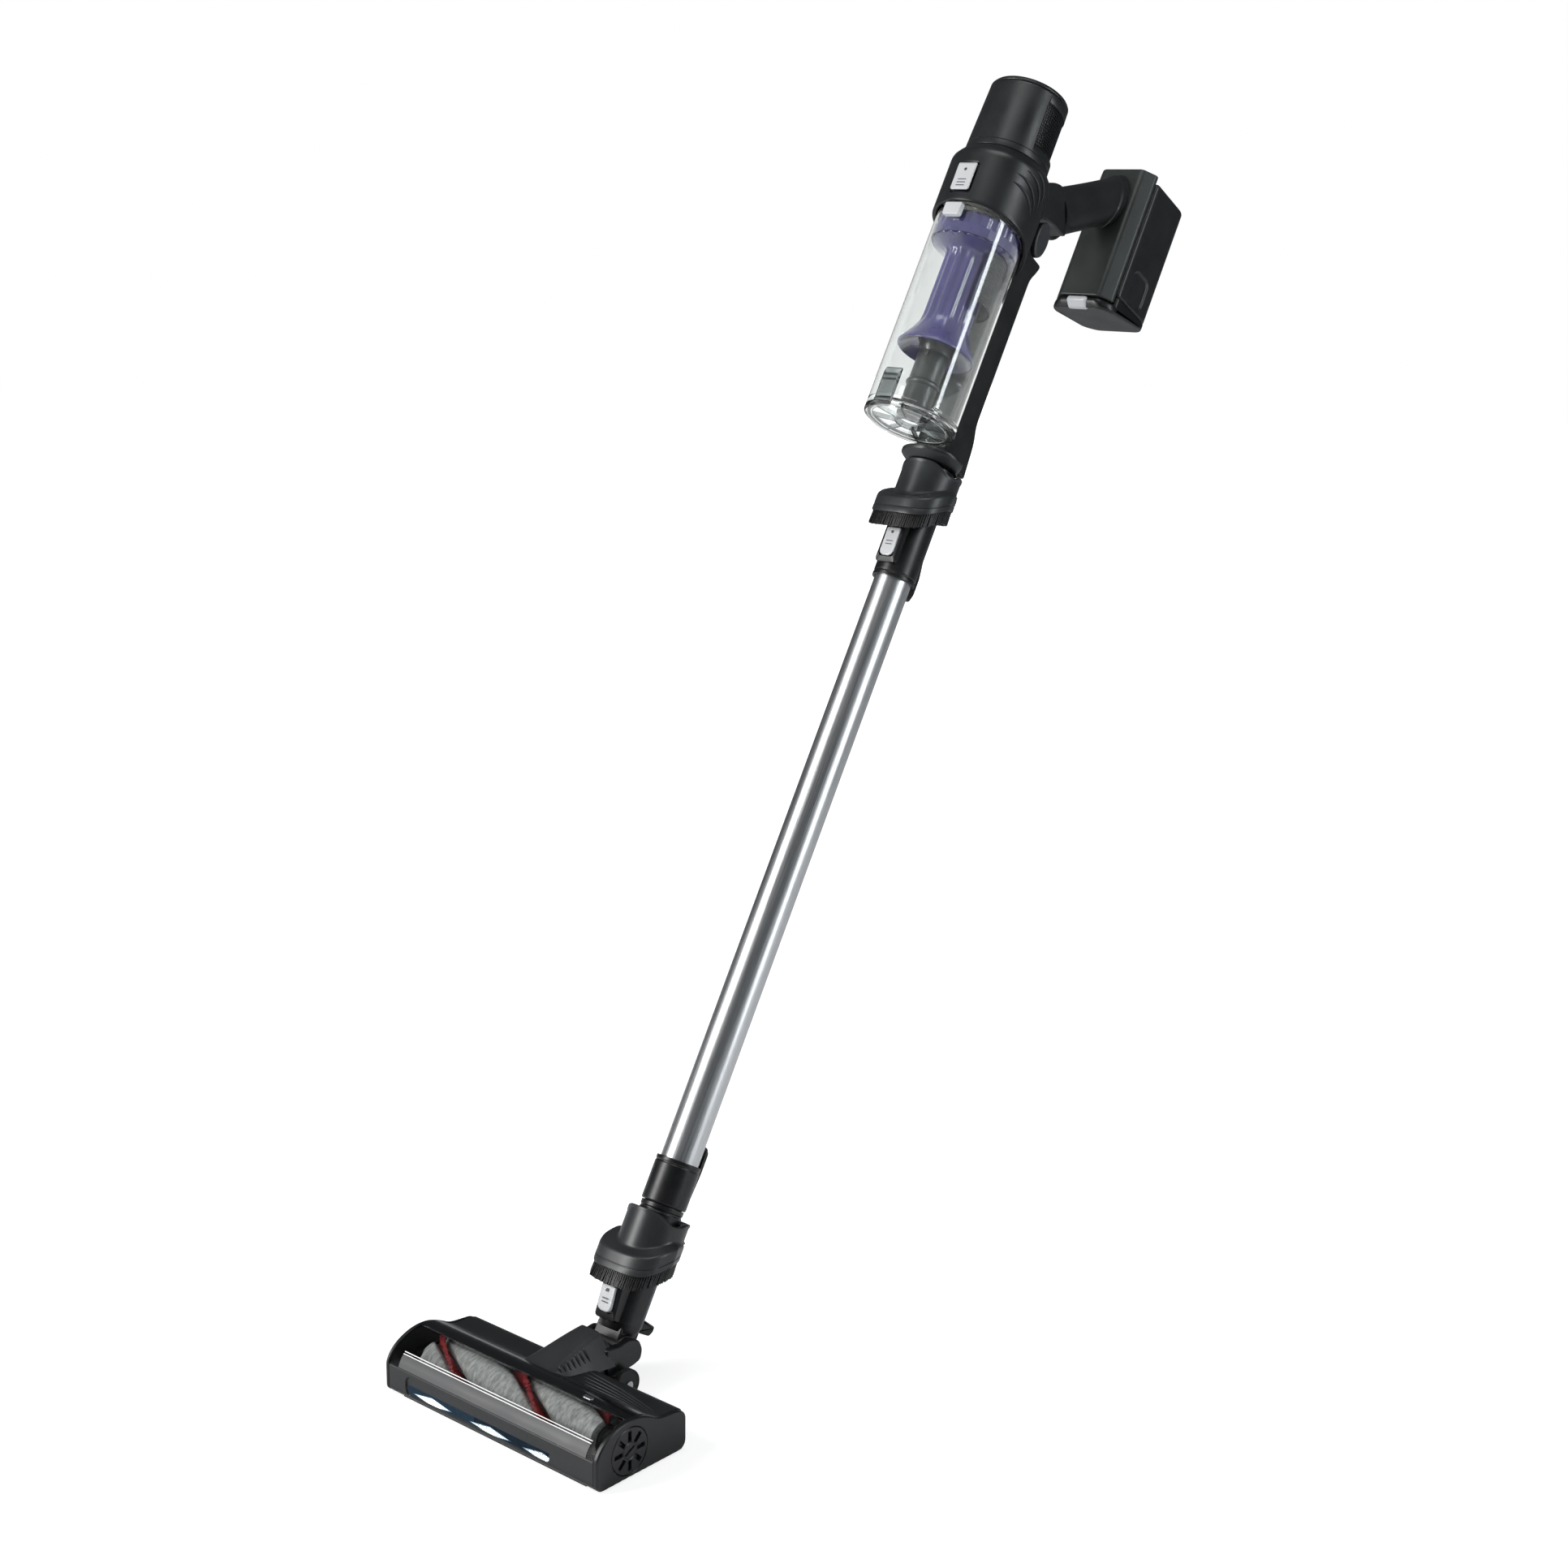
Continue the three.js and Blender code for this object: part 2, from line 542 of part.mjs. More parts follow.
function spineDuct() {
  const along = Math.sin(radians(HANDLE_RISE));
  const back = Math.cos(radians(HANDLE_RISE));
  const half = HANDLE_HIGH / 2 + 1;
  const rootTop = [HANDLE_BACK - half * along, HANDLE_ALONG + half * back];
  const rootLow = [HANDLE_BACK + half * along, HANDLE_ALONG - half * back];
  const side = across([[-30, 828], [-8, 827], [22, 820], [24, 824], [20.5, 856], [SPINE_BACK, 868],
    [SPINE_BACK, 1021], [20.5, 1029], [23, 1039], [23, 1077], rootLow, rootTop, [2, 1112], [-12, 1094],
    [-30, 1090]], -SPINE_HALF, SPINE_HALF);
  const inletPlate = raised(ellipse(30, 26, -8, ROUND), 817.6, 828);
  const taper = turned([[0, 810], [24, 817], [33, 829], [0, 829]], ROUND, -5);
  const inlet = inletPlate.intersect(taper);
  const binRoom = rod(BIN_R + 0.6, 828.4, 1035, ROUND, BIN_BACK);
  const ringRoom = turned([[0, 990], [RING_R + GAP, 990], [RING_R + GAP, RING_TOP],
    [MOTOR_R_LOW + 1.8, SHOULDER_TOP], [MOTOR_R_LOW + 1.8, 1130], [0, 1130]], ROUND, BIN_BACK);
  const triggerPocket = across([...arc(0, TRIGGER_ALONG, 19, 270, 90, 8).map(([y, z]) => [
    TRIGGER_BACK - 4.5 + (y * 10.4) / 19, z]), [60, TRIGGER_ALONG + 19], [60, TRIGGER_ALONG - 19]].reverse(),
  -40, 40);
  const socket = rod(17.3, 800, PLUG_TOP + 1, ROUND);
  const airway = across([[-9, 830], [8, 830], [8, 1060], [-4, 1060], [-4, 1000], [-9, 990]], -12, 12);
  return union(side, inlet).subtract(binRoom).subtract(ringRoom).subtract(triggerPocket)
    .subtract(socket).subtract(airway);
}

function trigger() {
  const reach = SPINE_HALF + 0.8;
  const geometry = geometryOf(raised(ellipse(17.4, 9.6, 0, MIDDLE), -reach, reach));
  geometry.rotateY(-Math.PI / 2);
  geometry.translate(0, TRIGGER_BACK, TRIGGER_ALONG);
  return solid(geometry);
}

function handleGrip() {
  const length = 110;
  const shape = new THREE.Shape(ellipse(HANDLE_WIDE / 2, HANDLE_HIGH / 2, 0, MIDDLE)
    .map(([x, y]) => new THREE.Vector2(x, y)));
  const geometry = new THREE.ExtrudeGeometry(shape, { depth: length, bevelEnabled: false });
  geometry.translate(0, 0, GAP);
  geometry.rotateX(radians(HANDLE_RISE - 90));
  geometry.translate(0, HANDLE_BACK, HANDLE_ALONG);
  return solid(geometry).subtract(box(-100, 100, DOCK_FRONT - GAP, 300, 900, 1300));
}

function batteryDock() {
  const outline = [[-22, DOCK_FRONT], [22, DOCK_FRONT], [DOCK_HALF, DOCK_FRONT + 12],
    [DOCK_HALF, DOCK_REAR], [-DOCK_HALF, DOCK_REAR], [-DOCK_HALF, DOCK_FRONT + 12]];
  const room = [[-20, DOCK_FRONT + 3], [20, DOCK_FRONT + 3], [28, DOCK_FRONT + 13], [28, 140], [-28, 140],
    [-28, DOCK_FRONT + 13]];
  return raised(outline, DOCK_LOW, DOCK_HIGH).subtract(raised(room, DOCK_LOW + 4, DOCK_HIGH - 5));
}

function batteryCase() {
  const outline = [[-PACK_HALF, PACK_FRONT], [PACK_HALF, PACK_FRONT], [PACK_HALF, PACK_REAR - 12],
    [24, PACK_REAR], [-24, PACK_REAR], [-PACK_HALF, PACK_REAR - 12]];
  const room = [[-31, PACK_FRONT + 3], [31, PACK_FRONT + 3], [31, PACK_REAR - 13], [23, PACK_REAR - 3],
    [-23, PACK_REAR - 3], [-31, PACK_REAR - 13]];
  return raised(outline, 1066, 1188).subtract(raised(room, 1000, 1185));
}

function batteryFoot() {
  const side = across([[DOCK_FRONT + 1, 1058], [DOCK_FRONT + 1, 1053], [118, 1047], [132, 1049],
    [190, 1061.5], [PACK_REAR, 1065.6], [DOCK_REAR + 1, 1065.6], [DOCK_REAR + 1, 1058]].reverse(),
  -PACK_HALF, PACK_HALF);
  const outline = [[-22, 111], [22, 111], [PACK_HALF, 125], [PACK_HALF, PACK_REAR - 12], [24, PACK_REAR],
    [-24, PACK_REAR], [-PACK_HALF, PACK_REAR - 12], [-PACK_HALF, 125]];
  const latchRoom = box(-11.4, 11.4, 100, 124.6, 1045.9, 1100);
  return side.intersect(raised(outline, 1000, 1100)).subtract(latchRoom);
}

function batteryLatch() {
  return across([[110.6, 1055], [110.6, 1052], [117, 1047.2], [121.4, 1047.2], [121.4, 1057.2],
    [112.4, 1057.2]], -11, 11);
}

function batteryCells() {
  const cells = [];
  for (const x of [-18.8, 0, 18.8]) {
    for (const y of [PACK_FRONT + 14.5, PACK_FRONT + 33.3]) {
      cells.push(rod(9, 1108, 1173, SMALL, y).translate([x, 0, 0]));
    }
  }
  const strip = box(-26, 26, PACK_FRONT + 7, PACK_FRONT + 41, 1172.5, 1174);
  return union(...cells, strip);
}

function controlBoard() {
  return box(-18, 18, DOCK_FRONT + 6, DOCK_FRONT + 7.6, 1075, 1120);
}

// ---------------------------------------------------------------- motor

function motorHousing() {
  const wallAt = (along, inward) => MOTOR_R_LOW - inward
    + (MOTOR_R_HIGH - MOTOR_R_LOW) * (along - MOTOR_LOW) / (MOTOR_HIGH - MOTOR_LOW);
  const shell = turned([[wallAt(MOTOR_LOW, MOTOR_WALL), MOTOR_LOW], [MOTOR_R_LOW, MOTOR_LOW],
    [MOTOR_R_HIGH, MOTOR_HIGH], [wallAt(MOTOR_HIGH, MOTOR_WALL), MOTOR_HIGH],
    [wallAt(MOTOR_LOW, MOTOR_WALL), MOTOR_LOW]], ROUND, BIN_BACK);
  return shell.subtract(ventWindow(60, VENT_LOW, VENT_HIGH, 0));
}

const VENT_LOW = 1108;
const VENT_HIGH = 1152;
const VENT_FROM = -21;            // degrees from the model's right side, towards the front
const VENT_GAP = 8;               // half the strip of wall left at the back, in degrees

// Two wedges of a cylinder, right and left, that bound the exhaust grilles.
function ventWedge(radius, z0, z1, side, trim) {
  const from = VENT_FROM + trim;
  const to = 90 - VENT_GAP - trim;
  const points = [[0, BIN_BACK], ...arc(0, BIN_BACK, radius, from, to, 8)];
  const outline = side > 0 ? points : points.map(([x, y]) => [-x, y]).reverse();
  return raised(outline, z0, z1);
}

function ventWindow(radius, z0, z1, trim) {
  return union(ventWedge(radius, z0, z1, 1, trim), ventWedge(radius, z0, z1, -1, trim));
}

function ventGrille(side) {
  const skin = pipe(37.4, 35.4, VENT_LOW + GAP, VENT_HIGH - GAP, ROUND, BIN_BACK);
  return skin.intersect(ventWedge(60, VENT_LOW, VENT_HIGH, side, 0.8));
}

function motorCap() {
  return turned([[0, MOTOR_HIGH + GAP], [MOTOR_R_HIGH, MOTOR_HIGH + GAP], [MOTOR_R_HIGH - 0.6, 1164.5],
    [MOTOR_R_HIGH - 3, 1166], [0, 1166]], ROUND, BIN_BACK);
}

function motorCan() {
  return rod(27, 1114, 1150, MIDDLE, BIN_BACK).subtract(rod(3.6, 1100, 1142, SMALL, BIN_BACK));
}

function impeller() {
  return union(turned([[0, 1099], [25, 1099], [25, 1101], [9, 1110], [0, 1110]], MIDDLE, BIN_BACK),
    rod(3, 1109, 1141, SMALL, BIN_BACK));
}

// ---------------------------------------------------------------- bin and cyclone

function binCup() {
  const wall = pipe(BIN_R, BIN_R - BIN_WALL, BIN_LOW, 1045, ROUND, BIN_BACK);
  const above = across([...lifted(JOINT_EDGE, -GAP), [20, 1100], [-140, 1100]], -100, 100);
  return wall.subtract(above);
}

function binCatch() {
  return box(-9, 9, -102.6, -97.3, 1018, 1030.5);
}

function binReleaseButton() {
  return box(-10.2, 10.2, -103.4, -99.2, 1042.5, 1069.5);
}

function cycloneShroud() {
  const outside = turned([[19, 1029], [19, 908], [34, 904], [36, 906], [24, 926], [22.5, 934], [22.5, 998],
    [30, 1004], [38.6, 1006], [38.6, 1026], [36.6, 1029], [19, 1029]], ROUND, BIN_BACK);
  const meshRoom = pipe(50, 22.9, 953, 999, ROUND, BIN_BACK);
  const seat = ventWedge(60, 953, 999, 1, 0).intersect(meshRoom);
  return outside.subtract(seat);
}

function cycloneStem() {
  return turned([[0, 846], [14.5, 846], [14.5, 903], [17.5, 912], [17.5, 1000], [14, 1000], [14, 912],
    [11, 903], [11, 850], [0, 850]], MIDDLE, BIN_BACK);
}

function meshScreen() {
  return pipe(33.5, 31.5, 954, 1003, ROUND, BIN_BACK).intersect(ventWedge(60, 900, 1100, 1, 0));
}

function shroudSeal() {
  return pipe(40, 38.9, 1007, 1016, ROUND, BIN_BACK);
}

const LID_LOW = 834.5;

function binLid() {
  return turned([[0, LID_LOW], [BIN_R - 1.5, LID_LOW], [BIN_R, LID_LOW + 1.2], [BIN_R, BIN_LOW - GAP],
    [0, BIN_LOW - GAP]], ROUND, BIN_BACK);
}

function lidSeal() {
  return pipe(39.5, 37, BIN_LOW, BIN_LOW + 3, ROUND, BIN_BACK);
}

function lidCatch() {
  return across([[-97.2, 868], [-99, 869], [-100.6, 864], [-100.6, 836], [-97.2, 834]], -9, 9);
}

function preMotorFilter() {
  return rod(42.6, 1046, 1074, ROUND, BIN_BACK);
}

function exhaustFilter() {
  return pipe(33.4, 28, 1112, 1150, MIDDLE, BIN_BACK);
}

// ---------------------------------------------------------------- the assembly

const vacuum = new THREE.Group();

const head = new THREE.Group();
const bristleRed = bristleRow(0, 2);
const bristleGrey = bristleRow(0.5, 2);
head.add(
  mesh('head_base', headBase(), charcoal()),
  mesh('head_top_cover', headTopCover(), charcoal()),
  mesh('brush_window', brushWindow(), smoke()),
  mesh('end_cap_left', endCap(-1), charcoal()),
  mesh('end_cap_right', endCap(1), charcoal()),
  mesh('led_lens', box(LED_FROM + 1, LED_TO - 1, -48.6, -46.4, 5, 16.5), white()),
  mesh('led_board', box(LED_FROM + 6, LED_TO - 6, -45.3, -43.6, 7, 14), plastic(0x1d5a33)),
  mesh('sole_strip', soleStrip(), rubber()),
  mesh('drive_motor', driveMotor(), metal(0x8a8c90)),
  mesh('motor_pulley', motorPulley(), metal(0xb8a878)),
  mesh('drive_belt', driveBelt(), rubber()),
  mesh('brush_core', brushCore(), plastic(0x4a4d50)),
  mesh('bristle_row_red', bristleRed, plastic(0x8c1220, 0.8)),
  mesh('bristle_row_grey', bristleGrey, plastic(0x9a9a98, 0.8)),
  mesh('brush_lock_dial', brushLockDial(), black()),
  mesh('rear_wheel_left', rearWheel(-1), rubber()),
  mesh('rear_wheel_right', rearWheel(1), rubber()),
  mesh('wheel_pin_left', wheelPin(-1), metal(0xb8babd)),
  mesh('wheel_pin_right', wheelPin(1), metal(0xb8babd)),
  mesh('neck_hood', neckHood(), charcoal()),
  mesh('swivel_yoke', swivelYoke(), black()),
  mesh('pivot_pin', pivotPin(), metal(0xb8babd)),
);

const wand = new THREE.Group();
wand.position.set(0, PIVOT_Y, PIVOT_Z);
wand.rotation.x = radians(-LEAN);
wand.add(
  mesh('neck_tube', neckTube(), charcoal()),
  mesh('head_release_button', headReleaseButton(), white()),
  mesh('lower_connector', lowerConnector(), charcoal()),
  mesh('wand_tube', wandTube(), metal(0xb4b6b8)),
  mesh('upper_connector', upperConnector(), charcoal()),
  mesh('wand_release_button', wandReleaseButton(), white()),
  mesh('body_ring', bodyRing(), charcoal()),
  mesh('spine_duct', spineDuct(), charcoal()),
  mesh('trigger', trigger(), plastic(0x6c6f72)),
  mesh('handle_grip', handleGrip(), charcoal()),
  mesh('battery_dock', batteryDock(), charcoal()),
  mesh('control_board', controlBoard(), plastic(0x1d5a33)),
  mesh('battery_case', batteryCase(), charcoal()),
  mesh('battery_foot', batteryFoot(), black()),
  mesh('battery_latch', batteryLatch(), white()),
  mesh('battery_cells', batteryCells(), plastic(0x3f6fb5)),
  mesh('motor_housing', motorHousing(), charcoal()),
  mesh('vent_grille_left', ventGrille(-1), black()),
  mesh('vent_grille_right', ventGrille(1), black()),
  mesh('motor_cap', motorCap(), charcoal()),
  mesh('motor_can', motorCan(), metal(0x8a8c90)),
  mesh('impeller', impeller(), metal(0xb8babd)),
  mesh('pre_motor_filter', preMotorFilter(), plastic(0xd8d8d2, 0.9)),
  mesh('exhaust_filter', exhaustFilter(), plastic(0xe4e4de, 0.9)),
  mesh('bin_cup', binCup(), smoke()),
  mesh('bin_catch', binCatch(), white()),
  mesh('bin_release_button', binReleaseButton(), white()),
  mesh('cyclone_shroud', cycloneShroud(), indigo()),
  mesh('cyclone_stem', cycloneStem(), smoke()),
  mesh('mesh_screen', meshScreen(), metal(0x55585c)),
  mesh('shroud_seal', shroudSeal(), rubber()),
  mesh('bin_lid', binLid(), smoke()),
  mesh('lid_seal', lidSeal(), rubber()),
  mesh('lid_catch', lidCatch(), smoke()),
);
for (const [name, rise] of [['lower', 0], ['upper', COLLAR_PITCH]]) {
  const brush = new THREE.Group();
  brush.position.z = rise;
  brush.add(
    mesh(`${name}_collar`, dustingCollar(), charcoal()),
    mesh(`${name}_bristles`, bristleRing(), black()),
  );
  wand.add(brush);
}

// The grip's middle becomes the origin.
const gripAlong = HANDLE_ALONG + GRIP_REACH * Math.sin(radians(HANDLE_RISE));
const gripBack = HANDLE_BACK + GRIP_REACH * Math.cos(radians(HANDLE_RISE));
const grip = new THREE.Vector3(0, gripBack, gripAlong)
  .applyAxisAngle(new THREE.Vector3(1, 0, 0), radians(-LEAN))
  .add(new THREE.Vector3(0, PIVOT_Y, PIVOT_Z));
vacuum.position.copy(grip).negate();
vacuum.add(head, wand);

export default vacuum;
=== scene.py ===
import json
import math

import bmesh
import bpy
import numpy as np
from mathutils import Matrix, Vector


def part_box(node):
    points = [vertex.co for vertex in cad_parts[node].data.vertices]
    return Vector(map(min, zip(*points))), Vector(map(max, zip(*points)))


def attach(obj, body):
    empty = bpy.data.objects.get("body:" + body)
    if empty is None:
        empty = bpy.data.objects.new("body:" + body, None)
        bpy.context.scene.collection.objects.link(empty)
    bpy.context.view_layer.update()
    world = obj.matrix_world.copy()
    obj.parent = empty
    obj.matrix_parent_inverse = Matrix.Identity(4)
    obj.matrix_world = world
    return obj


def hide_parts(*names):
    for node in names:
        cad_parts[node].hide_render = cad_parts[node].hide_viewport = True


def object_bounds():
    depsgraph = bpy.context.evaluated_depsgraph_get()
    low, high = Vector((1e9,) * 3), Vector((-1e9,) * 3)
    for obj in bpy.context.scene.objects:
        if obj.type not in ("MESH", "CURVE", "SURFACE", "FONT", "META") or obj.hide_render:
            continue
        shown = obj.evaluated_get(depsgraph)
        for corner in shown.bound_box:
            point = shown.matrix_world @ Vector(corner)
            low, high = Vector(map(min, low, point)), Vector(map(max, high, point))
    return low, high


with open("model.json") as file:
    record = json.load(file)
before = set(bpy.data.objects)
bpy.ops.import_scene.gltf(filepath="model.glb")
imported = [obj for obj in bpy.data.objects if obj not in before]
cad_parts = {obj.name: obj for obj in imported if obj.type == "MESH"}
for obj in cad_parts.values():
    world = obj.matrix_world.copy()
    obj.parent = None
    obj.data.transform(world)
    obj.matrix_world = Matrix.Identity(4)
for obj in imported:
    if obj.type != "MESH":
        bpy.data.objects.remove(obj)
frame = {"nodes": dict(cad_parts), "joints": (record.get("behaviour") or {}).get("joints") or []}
cad_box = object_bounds()
joint = {j["name"]: j for j in frame["joints"]}

# ============================================================ camera, floor and studio light
# A long lens off the tool's right front corner, at the height of the grip and tilted down.
# White paper stands behind. A wide soft lamp is at the front left, a strip at the right, and a
# weaker lamp above.

CAMERA_AT = (1.32188, -1.93657, 0.00171)
CAMERA_TURN, CAMERA_TILT, CAMERA_ROLL = np.radians([40.87, 13.58, 0.74])


def camera_matrix():
    """Right, up and back directions of the camera: turned about the upright, tilted down, rolled."""
    right = Vector((math.cos(CAMERA_TURN), math.sin(CAMERA_TURN), 0))
    back = Vector((math.sin(CAMERA_TURN) * math.cos(CAMERA_TILT),
                   -math.cos(CAMERA_TURN) * math.cos(CAMERA_TILT), math.sin(CAMERA_TILT)))
    up = back.cross(right)
    cos, sin = math.cos(CAMERA_ROLL), math.sin(CAMERA_ROLL)
    matrix = Matrix((right * cos + up * sin, up * cos - right * sin, back)).transposed().to_4x4()
    matrix.translation = CAMERA_AT
    return matrix


camera = bpy.data.objects.new("camera", bpy.data.cameras.new("camera"))
camera.data.sensor_width, camera.data.lens = 36, 55.26
camera.matrix_world = camera_matrix()
bpy.context.scene.collection.objects.link(camera)
bpy.context.scene.camera = camera
bpy.context.scene.view_settings.view_transform = "Standard"


def new_nodes(tree, *kinds):
    """One new shader node of each kind, in the order named."""
    return [tree.nodes.new("ShaderNode" + kind) for kind in kinds]


def seen_directly(tree):
    """1 for rays from the camera, straight or through clear plastic, and 0 for light that falls
    on things."""
    path, either = new_nodes(tree, "LightPath", "Math")
    either.operation = "MAXIMUM"
    tree.links.new(path.outputs["Is Camera Ray"], either.inputs[0])
    tree.links.new(path.outputs["Is Transmission Ray"], either.inputs[1])
    return either.outputs[0]


def paper_behind():
    """White where it is looked at, and a dim even grey as a source of light."""
    world = bpy.data.worlds.new("studio")
    world.use_nodes = True
    tree = world.node_tree
    tree.nodes.clear()
    shown, lit, mix, out = new_nodes(tree, "Background", "Background", "MixShader", "OutputWorld")
    shown.inputs["Color"].default_value = (1, 1, 1, 1)
    lit.inputs["Color"].default_value = (0.86, 0.93, 1, 1)
    lit.inputs["Strength"].default_value = 0.08
    tree.links.new(seen_directly(tree), mix.inputs[0])
    tree.links.new(lit.outputs[0], mix.inputs[1])
    tree.links.new(shown.outputs[0], mix.inputs[2])
    tree.links.new(mix.outputs[0], out.inputs["Surface"])
    bpy.context.scene.world = world


def studio_floor(height, around):
    """Pale matte floor that fades to the white of the paper as the distance from the floor head
    goes from fade_from to fade_to."""
    reach, fade_from, fade_to = 9, 0.16, 0.42
    mesh = bpy.data.meshes.new("floor")
    mesh.from_pydata([(-reach, -reach, height), (reach, -reach, height), (reach, reach, height),
                      (-reach, reach, height)], [], [(0, 1, 2, 3)])
    floor = bpy.data.objects.new("floor", mesh)
    bpy.context.scene.collection.objects.link(floor)
    material = bpy.data.materials.new("pale_floor")
    material.use_nodes = True
    tree = material.node_tree
    tree.nodes.clear()
    place, away, fade, shown, matte, paper, mix, out = new_nodes(
        tree, "TexCoord", "VectorMath", "MapRange", "Math", "BsdfDiffuse", "Emission", "MixShader",
        "OutputMaterial")
    away.operation = "DISTANCE"
    away.inputs[1].default_value = around
    fade.interpolation_type = "SMOOTHSTEP"
    fade.inputs["From Min"].default_value = fade_from
    fade.inputs["From Max"].default_value = fade_to
    fade.inputs["To Min"].default_value = 0.55
    shown.operation = "MULTIPLY"
    matte.inputs["Color"].default_value = (0.94, 0.94, 0.95, 1)
    paper.inputs["Strength"].default_value = 1.45
    link = tree.links.new
    link(place.outputs["Object"], away.inputs[0])
    link(away.outputs["Value"], fade.inputs["Value"])
    link(fade.outputs["Result"], shown.inputs[0])
    link(seen_directly(tree), shown.inputs[1])
    link(shown.outputs[0], mix.inputs[0])
    link(matte.outputs[0], mix.inputs[1])
    link(paper.outputs[0], mix.inputs[2])
    link(mix.outputs[0], out.inputs["Surface"])
    mesh.materials.append(material)


def soft_lamp(name, at, towards, width, height, power, tint=(1, 1, 1)):
    """A flat lamp of the given size in metres, turned to face a point."""
    lamp = bpy.data.objects.new(name, bpy.data.lights.new(name, "AREA"))
    lamp.data.shape, lamp.data.size, lamp.data.size_y = "RECTANGLE", width, height
    lamp.data.energy, lamp.data.color = power, tint
    aim = (Vector(towards) - Vector(at)).to_track_quat("-Z", "Y")
    lamp.matrix_world = Matrix.Translation(at) @ aim.to_matrix().to_4x4()
    lamp.visible_camera = False
    bpy.context.scene.collection.objects.link(lamp)


FLOOR = cad_box[0].z
middle = (cad_box[0] + cad_box[1]) / 2
paper_behind()
studio_floor(FLOOR, (0.05, joint["brush_spin"]["pos_m"][1] - 0.02, FLOOR))
soft_lamp("wide_lamp", (-1.2, -2.5, 0.5), middle, 0.8, 2.4, 70)
soft_lamp("strip_lamp", (2.3, 0.2, 0.3), middle, 0.3, 2.2, 26, (0.92, 0.97, 1))
soft_lamp("top_lamp", (0.3, -0.6, 1.9), middle, 1.2, 1.0, 14)

# ============================================================ floor head: base and nose
# Injection-moulded black base: a nose bar along the front, a floor, a wall behind the brush,
# the socket for the swivel and the forks of the two rear wheels. It snaps into the end caps.

MM = 0.001
HEAD_MIDDLE = np.array([0, joint["brush_spin"]["pos_m"][1] + 14 * MM, FLOOR])


def on_head(points):
    """Points (across, towards the back, up) in mm, from the floor under the middle of the head."""
    return HEAD_MIDDLE + MM * points


def as_points(*coordinates):
    """Points from their coordinates, each of them a number or a grid."""
    return np.stack(np.broadcast_arrays(*coordinates), -1)


def full_turn(count):
    """Angles that share a full turn evenly."""
    return np.linspace(0, 2 * math.pi, count, endpoint=False)


def ellipse(x, y, half_x, half_y, count):
    """Outline of an ellipse about (x, y), from its half width and half height."""
    a = full_turn(count)
    return as_points(x + half_x * np.cos(a), y + half_y * np.sin(a))


def inside_window(x, y, half_x, half_y, corner):
    """How far a place, measured from the middle of a window with rounded corners, is inside the
    window's edge: corner - hypot(past the straight part across, and up)."""
    over_x = np.maximum(np.abs(x) - half_x + corner, 0)
    over_y = np.maximum(np.abs(y) - half_y + corner, 0)
    return corner - np.hypot(over_x, over_y)


def rounded(points, radii, steps=4):
    """Each corner of a closed outline is cut back by its radius along both edges, and a
    quadratic curve with the old corner as its pull runs between the two cuts."""
    corner = np.array(points, float)
    to_last, to_next = np.roll(corner, 1, 0) - corner, np.roll(corner, -1, 0) - corner
    last_length, next_length = np.linalg.norm(to_last, axis=1), np.linalg.norm(to_next, axis=1)
    cut = np.minimum(np.broadcast_to(radii, len(corner)), 0.49 * np.minimum(last_length, next_length))
    start = corner + to_last * (cut / last_length)[:, None]
    end = corner + to_next * (cut / next_length)[:, None]
    t = np.linspace(0, 1, steps + 1)[None, :, None]
    curve = (1 - t) ** 2 * start[:, None] + 2 * t * (1 - t) * corner[:, None] + t ** 2 * end[:, None]
    return curve.reshape(-1, 2)


def drawn_in(outline, depth):
    """A closed outline moved inwards by the depth along the mean of its two edge normals."""
    along = np.roll(outline, -1, 0) - np.roll(outline, 1, 0)
    normal = as_points(-along[:, 1], along[:, 0]) / (np.linalg.norm(along, axis=1)[:, None] + 1e-9)
    x, y = outline.T
    turn = np.sum(x * np.roll(y, -1) - y * np.roll(x, -1))
    return outline + normal * depth * np.sign(turn)


AXES = {"xy": (0, 1, 2), "yz": (1, 2, 0), "xz": (0, 2, 1)}


def slab(outline, low, high, edge=0.6, plane="yz", steps=3, between=()):
    """An outline in one plane carried from low to high across it. Near both ends it is drawn in
    along a quarter circle, so the rim is rounded: inset edge(1 - sin a) at edge(1 - cos a) from
    the end. One more ring 0.4 mm further in starts each flat end."""
    a = np.linspace(0, math.pi / 2, steps + 1)
    inset = edge * (1 - np.sin(a))
    level = edge * (1 - np.cos(a))
    inset = np.concatenate([[edge + 0.4], inset, np.zeros(len(between)), inset[::-1], [edge + 0.4]])
    level = np.concatenate([[low], low + level, between, high - level[::-1], [high]])
    rings = np.stack([drawn_in(np.asarray(outline, float), d) for d in inset])
    u, v, w = AXES[plane]
    grid = np.empty(rings.shape[:2] + (3,))
    grid[..., u], grid[..., v], grid[..., w] = rings[..., 0], rings[..., 1], level[:, None]
    return grid


def weave(rows, cols, rings, loops):
    """Corner numbers of the four-sided faces between the points of a grid, closed across the
    columns for a ring and across the rows for a loop."""
    i, j = np.meshgrid(np.arange(rows if loops else rows - 1), np.arange(cols if rings else cols - 1),
                       indexing="ij")
    across, onwards = (j + 1) % cols, (i + 1) % rows
    return np.stack([i * cols + j, i * cols + across, onwards * cols + across, onwards * cols + j],
                    -1).reshape(-1, 4)


